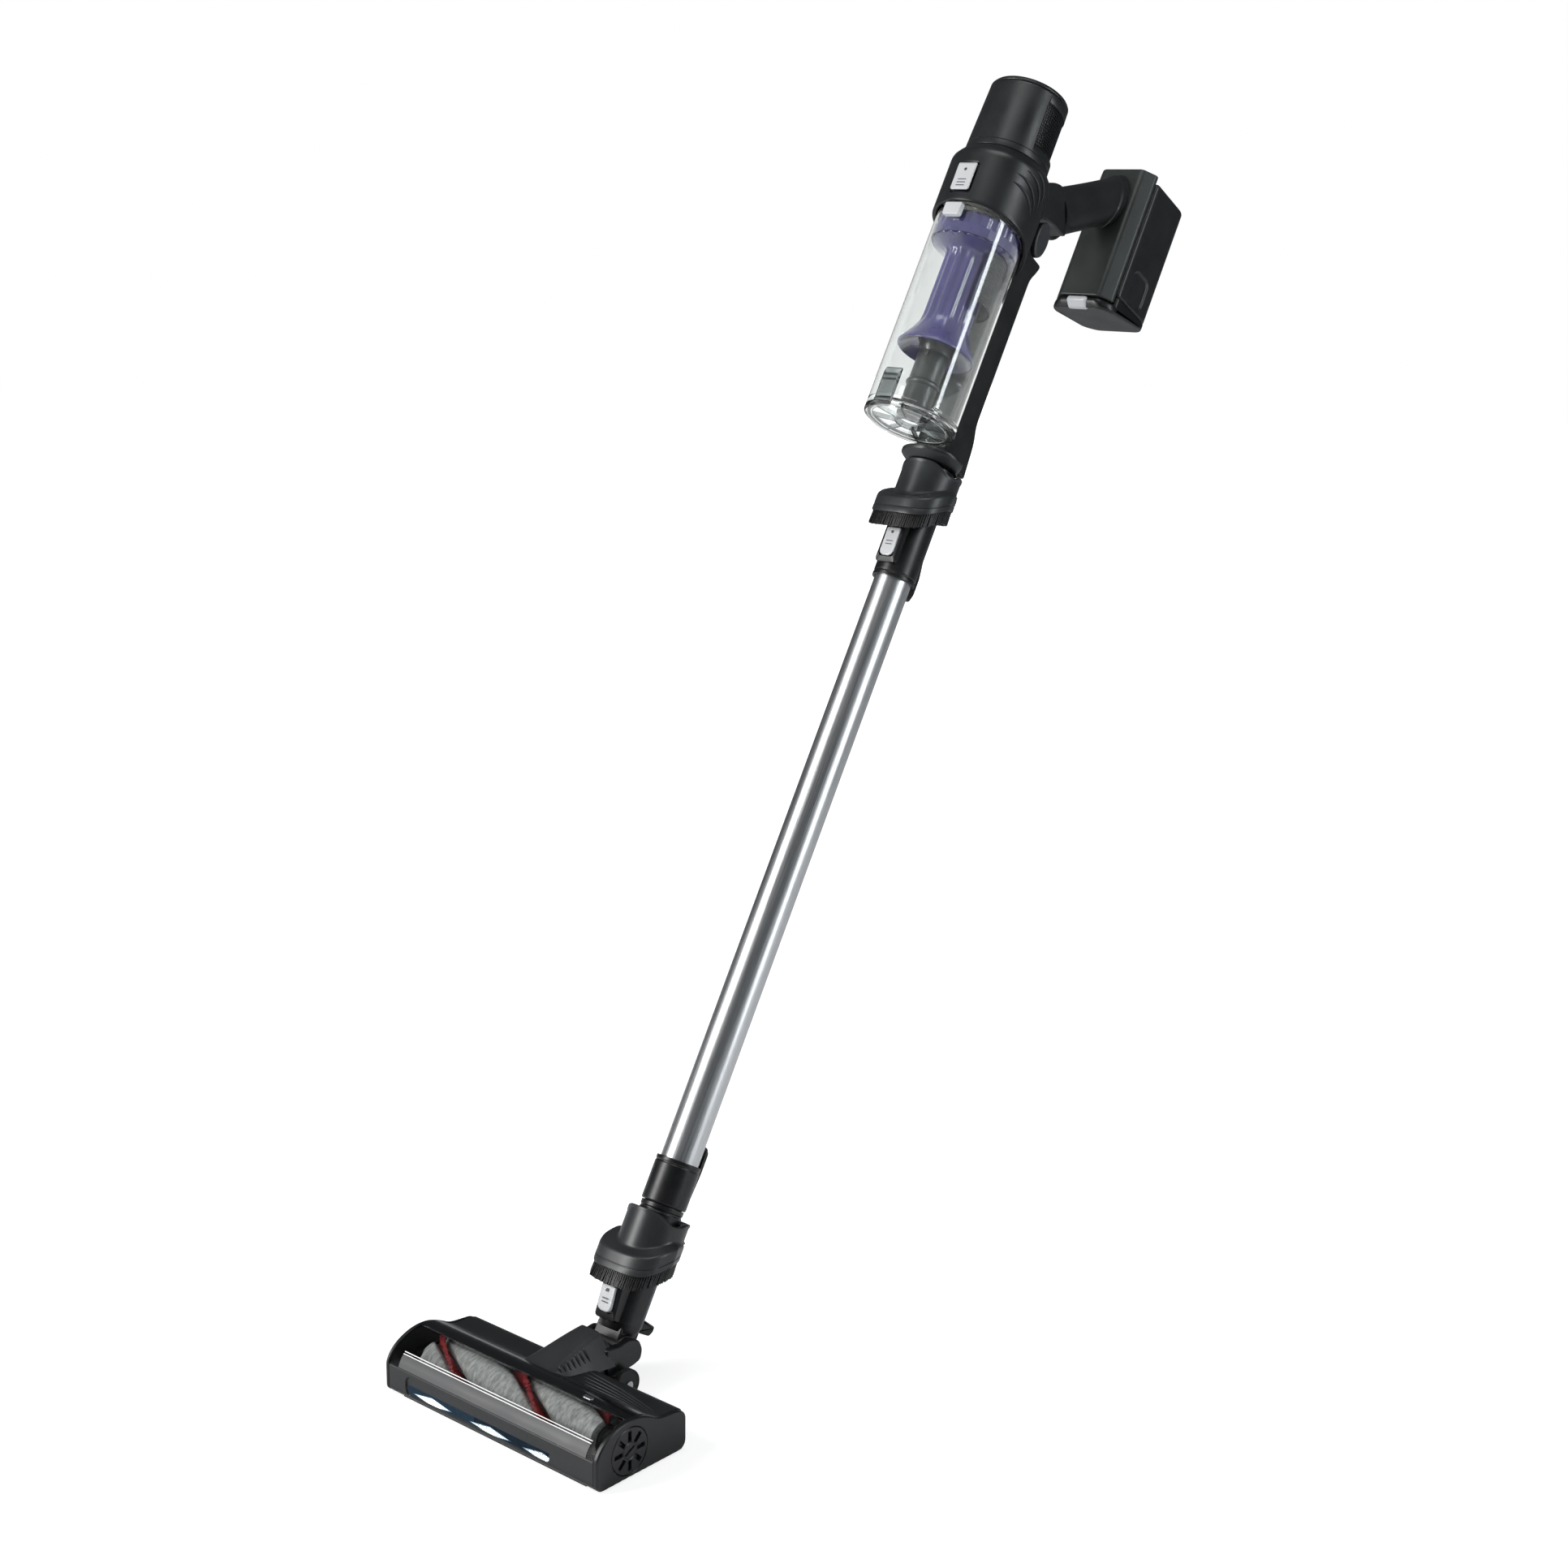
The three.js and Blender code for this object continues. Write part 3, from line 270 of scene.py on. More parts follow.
def piece(name, place, parts, body, finishes, stands_for, crease=38, wall=None):
    """One mesh from several grids. A part is (grid, kind, finish number, faces kept): a lidded
    grid is a tube with flat ends, a tube is open, a loop closes on itself and a sheet has four
    edges. A grid with four axes is many like grids. Open sheets get their wall from Solidify."""
    points, faces, finish = [], [], []
    first = 0
    for part in parts:
        grid, kind = part[0], part[1]
        grid = grid.reshape((-1,) + grid.shape[-3:])
        count, rows, cols = grid.shape[:3]
        quads = weave(rows, cols, kind != "sheet", kind == "loop")
        if len(part) > 3:
            quads = quads[part[3].ravel()]
        shift = first + rows * cols * np.arange(count)
        made = (quads[None] + shift[:, None, None]).reshape(-1, 4).tolist()
        if kind == "lidded":
            start = np.arange(cols)[::-1] + shift[:, None]
            made += start.tolist() + (np.arange(cols) + (rows - 1) * cols + shift[:, None]).tolist()
        points.append(place(grid.reshape(-1, 3)))
        faces += made
        finish += [part[2] if len(part) > 2 else 0] * len(made)
        first += count * rows * cols
    mesh = bpy.data.meshes.new(name)
    mesh.from_pydata(np.concatenate(points), [], faces)
    mesh.polygons.foreach_set("material_index", finish)
    for material in finishes:
        mesh.materials.append(material)
    work = bmesh.new()
    work.from_mesh(mesh)
    bmesh.ops.remove_doubles(work, verts=work.verts, dist=2e-6)
    if wall is None:
        bmesh.ops.recalc_face_normals(work, faces=work.faces)
    work.to_mesh(mesh)
    work.free()
    mesh.shade_smooth()
    mesh.set_sharp_from_angle(angle=math.radians(crease))
    obj = bpy.data.objects.new(name, mesh)
    bpy.context.scene.collection.objects.link(obj)
    if wall:
        solid = obj.modifiers.new("wall", "SOLIDIFY")
        solid.thickness, solid.offset = wall * MM, -1
    even = obj.modifiers.new("even_shading", "WEIGHTED_NORMAL")
    even.keep_sharp = True
    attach(obj, body)
    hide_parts(*stands_for)
    return obj


def moulding_group():
    """Fine spark-eroded grain from a tight noise, and slow handling smudges from a wide one."""
    group = bpy.data.node_groups.new("moulding_grain", "ShaderNodeTree")
    layers = (("Grain Size", 1500.0, "Grain", 2), ("Smudge Size", 30.0, "Smudge", 5))
    for socket, size, output, _ in layers:
        size_socket = group.interface.new_socket(socket, in_out="INPUT", socket_type="NodeSocketFloat")
        size_socket.default_value = size
        group.interface.new_socket(output, in_out="OUTPUT", socket_type="NodeSocketFloat")
    start, end = group.nodes.new("NodeGroupInput"), group.nodes.new("NodeGroupOutput")
    place, = new_nodes(group, "TexCoord")
    for socket, _, output, detail in layers:
        noise, = new_nodes(group, "TexNoise")
        noise.inputs["Detail"].default_value = detail
        group.links.new(place.outputs["Object"], noise.inputs["Vector"])
        group.links.new(start.outputs[socket], noise.inputs["Scale"])
        group.links.new(noise.outputs["Fac"], end.inputs[output])
    return group


moulding = moulding_group()


def span(tree, value, low, high, frm=0.3, to=0.7):
    """A value spread evenly from low to high as its source goes from frm to to."""
    node, = new_nodes(tree, "MapRange")
    for label, number in (("From Min", frm), ("From Max", to), ("To Min", low), ("To Max", high)):
        node.inputs[label].default_value = number
    tree.links.new(value, node.inputs["Value"])
    return node.outputs["Result"]


def blended(tree, factor, first, second):
    """A colour between two, by a factor that changes over the surface."""
    node, = new_nodes(tree, "Mix")
    node.data_type = "RGBA"
    tree.links.new(factor, node.inputs[0])
    for socket, colour in ((node.inputs[6], first), (node.inputs[7], second)):
        if isinstance(colour, bpy.types.NodeSocket):
            tree.links.new(colour, socket)
        else:
            socket.default_value = (*colour, 1)
    return node.outputs[2]


def bumped(tree, shader, height, depth, distance=0.0002):
    """Relief of the given depth share on the shader's normal."""
    bump, = new_nodes(tree, "Bump")
    bump.inputs["Strength"].default_value = depth
    bump.inputs["Distance"].default_value = distance
    tree.links.new(height, bump.inputs["Height"])
    tree.links.new(bump.outputs["Normal"], shader.inputs["Normal"])


def new_material(name):
    """A material, its shader tree and its main shader."""
    material = bpy.data.materials.new(name)
    material.use_nodes = True
    return material, material.node_tree, material.node_tree.nodes["Principled BSDF"]


def varied(tree, shader, value, colours, roughness):
    """The shader's colour and its roughness both go from a first to a second value as the noise
    rises."""
    tree.links.new(blended(tree, span(tree, value, 0, 1), *colours), shader.inputs["Base Color"])
    tree.links.new(span(tree, value, *roughness), shader.inputs["Roughness"])


def moulding_marks(tree, grain, smudge):
    """The moulding group with its two sizes set."""
    marks, = new_nodes(tree, "Group")
    marks.node_tree = moulding
    marks.inputs["Grain Size"].default_value = grain
    marks.inputs["Smudge Size"].default_value = smudge
    return marks


def moulded(name, colour, roughness, grain=1500, depth=0.12, lighter=1.35, smudge=30, **sockets):
    """Moulded plastic: its grain is relief, and smudges change its shade and its roughness."""
    material, tree, shader = new_material(name)
    marks = moulding_marks(tree, grain, smudge)
    pale = tuple(min(1.0, c * lighter) for c in colour)
    varied(tree, shader, marks.outputs["Smudge"], (colour, pale), (roughness * 0.85, roughness * 1.15))
    bumped(tree, shader, marks.outputs["Grain"], depth)
    for label, value in sockets.items():
        shader.inputs[label.replace("_", " ")].default_value = value
    return material


charcoal = moulded("charcoal_satin", (0.012, 0.0132, 0.0138), 0.36)
black_satin = moulded("black_satin", (0.0045, 0.0047, 0.005), 0.34, grain=2200, depth=0.08)
black_gloss = moulded("black_gloss", (0.004, 0.004, 0.0045), 0.16, grain=90, depth=0.02)

HEAD_HALF = 1000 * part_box("end_cap_right")[1].x
SHELL_HALF = 1000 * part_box("brush_window")[1].x
NOSE_TOP = 27.5
LAMP_FROM, LAMP_TO = (1000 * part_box("led_lens")[k].x + d for k, d in ((0, -1), (1, 1)))


LAMP_RISE, LAMP_HALF, LAMP_CORNER, LAMP_DEPTH = 15, 8.4, 6.4, 1.4


def nose_bar():
    """Outline of the bar carried across the head. Points of its front face inside a long
    rounded window go back by three times the distance to the window's edge, up to the lamp
    recess's depth."""
    outline = rounded([(-50, 5.5), (-46, 1.5), (-41, 1.5), (-41, NOSE_TOP), (-50, NOSE_TOP)],
                      [2, 2, 0.3, 0.6, 1.6])
    face = as_points(-50.0, np.linspace(NOSE_TOP - 1.7, 7.3, 60))
    outline = np.concatenate([outline[:-1], face])
    ends = [LAMP_FROM, LAMP_TO]
    fine = np.concatenate([np.linspace(e - 9, e + 9, 37) for e in ends])
    stops = np.sort(np.concatenate([np.linspace(-SHELL_HALF + 1, SHELL_HALF - 1, 50), fine]))
    grid = slab(outline, -SHELL_HALF, SHELL_HALF, 0.8, between=stops)
    x, y, z = grid[..., 0], grid[..., 1], grid[..., 2]
    inside = inside_window(x - (LAMP_FROM + LAMP_TO) / 2, z - LAMP_RISE, (LAMP_TO - LAMP_FROM) / 2,
                           LAMP_HALF, LAMP_CORNER)
    grid[..., 1] = np.where(y < -49, y + np.clip(inside * 3, 0, LAMP_DEPTH), y)
    return grid


def across_bar(points, low, high, corner=1.0, edge=0.6):
    """A bar or block whose outline, seen from the side, is carried across."""
    return slab(rounded(points, corner), low, high, edge)


def disc(radius, low, high, y, z, edge=0.8, facets=64):
    """A round bar across the head, about the point (y, z)."""
    return slab(ellipse(y, z, radius, radius, facets), low, high, edge)


SWIVEL_AXIS = np.array(joint["head_swivel"]["axis"])
SWIVEL_AT = (np.array(joint["neck_pitch"]["pos_m"]) - HEAD_MIDDLE) / MM


def about_swivel(profile, facets=72):
    """Profile of (radius, distance along the swivel axis) turned about the axis."""
    a = full_turn(facets)
    radius, along = np.array(profile, float).T
    side = np.array([1.0, 0, 0])
    up = np.array([0, -SWIVEL_AXIS[2], SWIVEL_AXIS[1]])
    spoke = np.cos(a)[:, None] * side + np.sin(a)[:, None] * up
    return SWIVEL_AT + along[:, None, None] * SWIVEL_AXIS + radius[:, None, None] * spoke


base_floor = [(6, 1.5), (46, 1.5), (50, 6), (50, 30.5), (47.5, 30.5), (47.5, 7), (45, 4), (6, 4)]
end_wall = [(-46, 4), (46, 4), (47.5, 30.5), (-41, NOSE_TOP)]
fork = [(45, 4), (49, 5.5), (78, 9), (82, 13.5), (78, 18), (49, 26)]
piece("floor_head_base", on_head, [
    (nose_bar(), "lidded", 1),
    (across_bar(base_floor, -SHELL_HALF, SHELL_HALF, 1.2), "lidded"),
    (across_bar([(12.5, 3), (15, 3), (15, 34), (12.5, 34)], -98, 98, 0.4), "lidded"),
    (across_bar(end_wall, SHELL_HALF - 3, SHELL_HALF), "lidded"),
    (across_bar(end_wall, -SHELL_HALF, 3 - SHELL_HALF), "lidded"),
    (across_bar(fork, 24.3, 27.3, 2), "lidded"),
    (across_bar(fork, -27.3, -24.3, 2), "lidded"),
    (about_swivel([(15.4, -43), (22, -43), (22, -29.6), (15.4, -29.6)]), "loop"),
], "floor_head", [black_satin, charcoal], ["head_base"])

# ============================================================ floor head: dirt lamp
# A clear bar over a strip of three white diodes. Each diode makes a long bright diamond in it,
# and the board behind it is a lacquered green circuit board.

SPOTS = ((-68, 25), (2, 26), (62, 24))


def lamp_lens():
    """Cold white light in three diamonds: 1 minus the distances across and up over their sizes."""
    spot_height, spot_rise = 4.1, 9.8
    material, tree, shader = new_material("lamp_lens")
    link = tree.links.new
    place, split, ramp = new_nodes(tree, "TexCoord", "SeparateXYZ", "ValToRGB")
    link(place.outputs["Object"], split.inputs[0])

    def maths(operation, first, second, third=None):
        node, = new_nodes(tree, "Math")
        node.operation = operation
        for socket, value in zip(node.inputs, (first, second, third)):
            if isinstance(value, bpy.types.NodeSocket):
                link(value, socket)
            elif value is not None:
                socket.default_value = value
        return node.outputs[0]

    height = maths("ABSOLUTE", maths("SUBTRACT", split.outputs["Z"], FLOOR + spot_rise * MM), 0)
    glow = None
    for spot, width in SPOTS:
        aside = maths("ABSOLUTE", maths("SUBTRACT", split.outputs["X"], spot * MM), 0)
        reach = maths("ADD", maths("DIVIDE", aside, width * MM), maths("DIVIDE", height, spot_height * MM))
        diamond = maths("POWER", maths("MAXIMUM", maths("SUBTRACT", 1, reach), 0), 0.8)
        glow = diamond if glow is None else maths("ADD", glow, diamond)
    ramp.color_ramp.elements[0].color = (0.012, 0.02, 0.03, 1)
    ramp.color_ramp.elements[1].color = (0.85, 0.95, 1, 1)
    ramp.color_ramp.elements[1].position = 0.4
    ramp.color_ramp.elements.new(0.12).color = (0.04, 0.09, 0.14, 1)
    link(glow, ramp.inputs[0])
    link(ramp.outputs["Color"], shader.inputs["Emission Color"])
    link(blended(tree, glow, (0.012, 0.014, 0.016), (0.8, 0.85, 0.9)), shader.inputs["Base Color"])
    shader.inputs["Emission Strength"].default_value = 3.2
    shader.inputs["Roughness"].default_value = 0.08
    return material


lens = across_bar([(-48.6, 5.2), (-46.4, 5.2), (-46.4, 16.4), (-48.6, 16.4)], LAMP_FROM + 1, LAMP_TO - 1,
                  0.8, 0.7)
piece("lamp_lens", on_head, [(lens, "lidded")], "floor_head", [lamp_lens()], ["led_lens"])


def dress(node, material):
    """Gives a CAD node that stays in sight its finish."""
    mesh = frame["nodes"][node].data
    mesh.materials.clear()
    mesh.materials.append(material)


circuit = moulded("circuit_board", (0.01, 0.09, 0.035), 0.35, grain=700, lighter=1.8, smudge=400)
dress("led_board", circuit)
rubber = moulded("rubber", (0.012, 0.012, 0.012), 0.75, grain=2500, depth=0.3)
dress("sole_strip", rubber)

# ============================================================ floor head: brush roll and drive
# A grey core carries two soft pile bands and two rows of stiff red bristles, wound once round it.
# A belt and two pulleys on the right turn it from the small motor behind the wall.

BRUSH_Y, BRUSH_Z = -14, 24
BRUSH_HALF, BRUSH_TURNS = 100, 1
RED_FROM = (math.radians(79), math.radians(259))


def on_roll(across, angle, radius):
    """Point of the roll: an angle from the back over the top, at a radius from its axle."""
    return as_points(across, BRUSH_Y + radius * np.cos(angle), BRUSH_Z + radius * np.sin(angle))


def helix(across, start):
    """Angle of the wound rows at a place across the roll."""
    return start + BRUSH_TURNS * (across + BRUSH_HALF) / (2 * BRUSH_HALF) * 2 * math.pi


def pile_band(start):
    """A band 150 degrees wide that follows the helix. Its section is a low dome, 7.6 mm times a
    sine to the power 0.28 over the core, with a combed ripple along the band."""
    across = np.linspace(-BRUSH_HALF, BRUSH_HALF, 161)[:, None]
    share = np.linspace(0, 1, 30)[None, :]
    twist = helix(across, start)
    dome = 13.2 + 7.6 * np.sin(math.pi * share) ** 0.28 + 0.35 * np.sin(across * 2.6 + share * 40)
    outside = on_roll(across, twist + np.radians(150) * (share - 0.5), dome)
    inside = on_roll(across, twist + np.radians(150) * (share[:, ::-1] - 0.5), 12.9 + 0 * dome)
    return np.concatenate([outside, inside], 1)


def bristle_tufts(start, count=120):
    """Tufts in a row along the helix, each a four-sided brush 2 mm across that widens to its tip
    and leans by a small seeded angle."""
    rng = np.random.default_rng(7)
    across = np.linspace(-BRUSH_HALF + 2, BRUSH_HALF - 2, count)[:, None, None]
    angle = helix(across, start)
    radius = np.array([12.6, 18, 22.3])[None, :, None]
    corner = np.array([0, 1, 2, 3])[None, None, :] * math.pi / 2 + 0.4
    width = np.array([0.75, 0.85, 1.2])[None, :, None]
    lean = rng.normal(0, 0.035, (count, 1, 1)) * (radius - 12) / 10
    return on_roll(across + width * np.cos(corner) + 6 * lean,
                   angle + lean + width * np.sin(corner) / radius, radius)


def fibres(name, colour, tip, stretch, roughness=0.7):
    """Nylon filaments: a noise drawn out along the tufts changes their shade and stands as relief."""
    material, tree, shader = new_material(name)
    place, turn, noise = new_nodes(tree, "TexCoord", "Mapping", "TexNoise")
    turn.inputs["Scale"].default_value = stretch
    noise.inputs["Scale"].default_value = 1
    noise.inputs["Detail"].default_value = 4
    tree.links.new(place.outputs["Object"], turn.inputs["Vector"])
    tree.links.new(turn.outputs["Vector"], noise.inputs["Vector"])
    varied(tree, shader, noise.outputs["Fac"], (colour, tip), (roughness - 0.1, roughness + 0.1))
    bumped(tree, shader, noise.outputs["Fac"], 0.6, 0.0005)
    return material


grey_pile = fibres("grey_pile", (0.30, 0.30, 0.29), (0.72, 0.72, 0.70), (420, 160, 160))
red_bristle = fibres("red_bristle", (0.16, 0.006, 0.010), (0.50, 0.03, 0.035), (1500, 500, 500), 0.5)
roll_grey = moulded("roll_core_grey", (0.05, 0.052, 0.055), 0.45)
steel = moulded("ground_steel", (0.42, 0.43, 0.44), 0.28, grain=900, depth=0.1, Metallic=1.0)

piece("brush_roll_core", on_head, [
    (disc(12.5, -104, 99, BRUSH_Y, BRUSH_Z), "lidded"),
    (disc(10, 98.5, 113, BRUSH_Y, BRUSH_Z, 0.5), "lidded"),
    (disc(3.9, -120.3, 122.4, BRUSH_Y, BRUSH_Z, 0.4, 32), "lidded", 1),
], "brush_roll", [roll_grey, steel], ["brush_core"])
piece("brush_roll_pile", on_head, [(pile_band(red + math.pi / 2), "lidded") for red in RED_FROM],
      "brush_roll", [grey_pile], ["bristle_row_grey"], crease=60)
piece("brush_roll_bristles", on_head, [
    (bristle_tufts(red + aside), "lidded") for red in RED_FROM for aside in (-0.04, 0.04)
], "brush_roll", [red_bristle], ["bristle_row_red"], crease=60)
dress("drive_belt", rubber)
dress("drive_motor", moulded("motor_casing", (0.3, 0.31, 0.32), 0.38, grain=600, Metallic=1.0))
dress("motor_pulley", moulded("pulley_brass", (0.52, 0.42, 0.22), 0.35, grain=600, Metallic=1.0))

# ============================================================ floor head: window and cover
# A smoked clear window bends over the brush. A grey mask is printed along its lower edge, and
# two fine white lines along that edge are painted highlights.
# Behind it runs a gloss black band, then the satin cover with its fan of ridges.

DOME = [(-50, 28), (-47, 34), (-42, 39.5), (-36, 43.5), (-26, 48), (-14, 50), (-3, 49)]
TAIL = [(8, 45), (20, 38.5), (44, 36), (50, 31)]


def flowing(points, count):
    """A smooth curve through points: on each stretch a cubic that leaves and arrives along the
    line between the two neighbours (Catmull-Rom)."""
    p = np.array(points, float)
    p = np.concatenate([2 * p[:1] - p[1:2], p, 2 * p[-1:] - p[-2:-1]])
    at = np.linspace(0, len(points) - 1 - 1e-9, count)
    i, t = at.astype(int), (at % 1)[:, None]
    a, b, c, d = (p[i + k] for k in range(4))
    return 0.5 * (2 * b + (c - a) * t + (2 * a - 5 * b + 4 * c - d) * t ** 2
                  + (3 * b - a - 3 * c + d) * t ** 3)


def offset(curve, depth):
    """An open curve moved to its right by the depth, along the normal of the chord about each point."""
    chord = np.gradient(curve, axis=0)
    chord /= np.linalg.norm(chord, axis=1)[:, None]
    return curve + depth * as_points(chord[:, 1], -chord[:, 0])


def band(curve, wall, half, edge=0.4, lift=0.0):
    """A curved strip of the given wall across the head, its four long corners eased."""
    outline = np.concatenate([offset(curve, -lift), offset(curve, wall)[::-1]])
    return slab(outline, -half, half, edge)


def clear_plastic(name, colour, roughness=0.03, smudge=25, ior=1.45):
    """Clear moulded plastic: light passes and bends, and slow smudges change its roughness. Rays
    that look for a lamp pass straight through it, tinted, so what stands behind is lit."""
    material, tree, shader = new_material(name)
    shader.inputs["Transmission Weight"].default_value = 1
    shader.inputs["IOR"].default_value = ior
    marks = moulding_marks(tree, 400, smudge)
    deeper = tuple(c * 0.94 for c in colour)
    varied(tree, shader, marks.outputs["Smudge"], (colour, deeper), (roughness * 0.6, roughness * 1.6))
    path, through, mix = new_nodes(tree, "LightPath", "BsdfTransparent", "MixShader")
    through.inputs["Color"].default_value = (*colour, 1)
    tree.links.new(path.outputs["Is Shadow Ray"], mix.inputs[0])
    tree.links.new(shader.outputs[0], mix.inputs[1])
    tree.links.new(through.outputs[0], mix.inputs[2])
    tree.links.new(mix.outputs[0], tree.nodes["Material Output"].inputs["Surface"])
    return material


dome = flowing(DOME, 60)
window_run = dome[dome[:, 0] < -14.4]
smoked = clear_plastic("smoked_window", (0.50, 0.51, 0.51), 0.12, ior=1.1)
# Painted highlight: the white of the two fine lines along the window's lower edge.
highlight_white = moulded("painted_highlight_white", (0.85, 0.85, 0.85), 0.5)
mask_grey = moulded("mask_grey", (0.040, 0.041, 0.042), 0.4)


MASK_FROM, MASK_TO = 0.005, 0.33
# Two fine white lines along the window's lower edge, painted highlights.
HIGHLIGHT_LINES = ((0.335, 0.362), (0.395, 0.422))


def print_and_highlight_strip(low, high, proud=0.1, count=400):
    """A thin strip on the window from end to end, between two shares of the window's curve: the printed
    grey mask, and the two white lines of painted highlight.
    """
    run = flowing(window_run, count)[int(low * count):int(high * count)]
    return slab(np.concatenate([offset(run, -proud), offset(run, 0.1)[::-1]]),
                12 - SHELL_HALF, SHELL_HALF - 8, 0.02)


window_run = window_run[window_run[:, 1] > NOSE_TOP + 0.35]
piece("smoked_hatch", on_head, [
    (band(window_run, 2.2, SHELL_HALF), "lidded"),
    (print_and_highlight_strip(MASK_FROM, MASK_TO, 0.06), "lidded", 2),
    # The two white lines are painted highlights, laid on the window like print.
    *[(print_and_highlight_strip(low, high), "lidded", 1) for low, high in HIGHLIGHT_LINES],
], "floor_head", [smoked, highlight_white, mask_grey], ["brush_window"])

cover_run = flowing(DOME[-2:] + TAIL, 60)


def ridge(path, width, height, fade=0.25):
    """A raised line along a path on a surface that faces up: a round back whose width and height
    grow from nothing at both ends of the path."""
    p = np.array(path, float)
    share = np.linspace(0, 1, len(p))
    grow = np.clip(np.minimum(share, 1 - share) / fade, 0.04, 1) ** 0.6
    chord = np.gradient(p, axis=0)
    side = as_points(-chord[:, 1], chord[:, 0], 0)
    side /= np.linalg.norm(side, axis=1)[:, None]
    a = full_turn(10)
    up = np.array([0, 0, 1.0])
    return (p[:, None] + (width / 2 * grow)[:, None, None] * np.cos(a)[:, None] * side[:, None]
            + (height * grow)[:, None, None] * np.sin(a)[:, None] * up)


def over_cover(x, y):
    """Height of the cover at a place, read off its curve."""
    return as_points(x, y, np.interp(y, cover_run[:, 0], cover_run[:, 1]))


fan = []
for k in range(5):
    start, end = np.array([18 + 6 * k, 40 - 5.2 * k]), np.array([116 - 0.5 * k, 25 - 2.7 * k])
    t = np.linspace(0, 1, 50)[:, None]
    way = start + (end - start) * t + (0, 10) * t * (1 - t)
    fan.append(ridge(over_cover(way[:, 0], way[:, 1]), 3.0, 1.4, 0.4))
window_key = slab(rounded([(70, -12), (80, -12), (80, -7.6), (70, -7.6)], 1.6), 48.5, 50.9, 0.4, "xy")
gloss_run = cover_run[cover_run[:, 0] < 5]
piece("head_cover", on_head, [
    (band(cover_run, 2.5, SHELL_HALF), "lidded"),
    (band(gloss_run, 0.5, SHELL_HALF - 0.2, edge=0.15, lift=0.35), "lidded", 1),
    (np.stack(fan), "lidded"),
    (window_key, "lidded", 2),
], "floor_head", [charcoal, black_gloss, steel], ["head_top_cover"])

# ============================================================ floor head: end caps and lock dial
# Thick satin end plates clip over the shell. The right one holds a round dial that is turned
# with a coin to draw the brush roll out.

CAP_IN = 1000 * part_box("end_cap_right")[0].x
DIAL_R = 19.5
HEAD_END = rounded([(-46, 1.5), (46, 1.5), (50, 6), *TAIL[::-1], *DOME[::-1], (-50, 5)],
                   [2, 2, 2.5, 4, 6, 6, 6, 5, 6, 6, 5, 5, 4, 3, 2.5], 5)


def round_the_axle(outline, count=192):
    """The outline read as a distance from the brush axle for each angle, so that it can be joined
    point to point to a circle about the axle."""
    dense = outline[:, None] + np.linspace(0, 1, 12, endpoint=False)[:, None] * (
        np.roll(outline, -1, 0) - outline)[:, None]
    off = dense.reshape(-1, 2) - (BRUSH_Y, BRUSH_Z)
    angle, far = np.arctan2(off[:, 1], off[:, 0]), np.hypot(off[:, 0], off[:, 1])
    order = np.argsort(angle)
    a = np.linspace(-math.pi, math.pi, count, endpoint=False)
    r = np.interp(a, angle[order], far[order], period=2 * math.pi)
    return a, r


def ring_plate(outline, bore, low, high, edge):
    """A plate with a round hole at the axle: its surface runs from the hole's inner rim out over
    the face, round the eased edge and back across the inside."""
    a, r = round_the_axle(outline)
    c = np.linspace(0, math.pi / 2, 5)
    rings = [(bore + 0 * r, high - 0.5), (bore + 0.5 + 0 * r, high), (r - edge - 0.5, high),
             *[(r - edge * (1 - np.sin(k)), high - edge * (1 - np.cos(k))) for k in c],
             (r, low), (bore + 0 * r, low)]
    return np.stack([on_roll(level, a, radius) for radius, level in rings])


def slotted_dial(low, high):
    """Face of the dial as rings about the axle. Eight radial slots and a coin slot go down by the
    distance inside each slot, up to their depth."""
    slot_half, slot_from, slot_to, slot_depth = 1.9, 8.2, 16.6, 2.8
    coin_half, coin_reach, coin_depth = 1.2, 5.6, 1.6
    ring_at, ring_half, ring_depth = 7.0, 0.7, 0.5
    slope = 0.5
    r = np.concatenate([[0.01], np.linspace(0.6, 17.8, 36), [18.4, 19.0, DIAL_R, DIAL_R]])[:, None]
    a = full_turn(240)[None, :]
    slot_angle = (a + math.pi / 8) % (math.pi / 4) - math.pi / 8
    in_slot = np.minimum(slot_half - np.abs(r * np.sin(slot_angle)), np.minimum(r - slot_from, slot_to - r))
    in_coin = np.minimum(coin_half - np.abs(r * np.sin(a - 0.5)), coin_reach - r)
    in_ring = ring_half - np.abs(r - ring_at)
    sink = (slot_depth * np.clip(in_slot / slope, 0, 1) + coin_depth * np.clip(in_coin / slope, 0, 1)
            + np.clip(in_ring, 0, ring_depth))
    level = high - sink
    level[-2:] = high - 0.5
    level[-3] = high - 0.1
    level[-1] = low
    return on_roll(level, a, r)


piece("right_end_cap", on_head, [(ring_plate(HEAD_END, DIAL_R + 0.4, CAP_IN, HEAD_HALF, 1.6), "loop")],
      "floor_head", [black_satin], ["end_cap_right"])
piece("left_end_cap", on_head, [(slab(HEAD_END, -HEAD_HALF, -CAP_IN, 1.6), "lidded")],
      "floor_head", [black_satin], ["end_cap_left"])
piece("coin_dial", on_head, [(slotted_dial(CAP_IN + 0.4, HEAD_HALF), "lidded")],
      "lock_dial", [black_satin], ["brush_lock_dial"])

# ============================================================ floor head: hood, wheels and swivel
# The hood flares back over the swivel and ends in an arch round the yoke's turret. Two rubber
# wheels on steel pins stand beside the turret, and the yoke turns in a socket under the hood.

HOOD = [(5, 45.6, 17.5, 18.5, 44), (14, 47.8, 16.4, 21, 40), (22, 49.6, 15, 23.4, 36),
        (33, 52, 13.6, 26, 34.5), (44, 54.2, 12.5, 28, 34), (56, 56.2, 11.6, 29.2, 33),
        (66, 57.4, 11, 29.5, 32)]


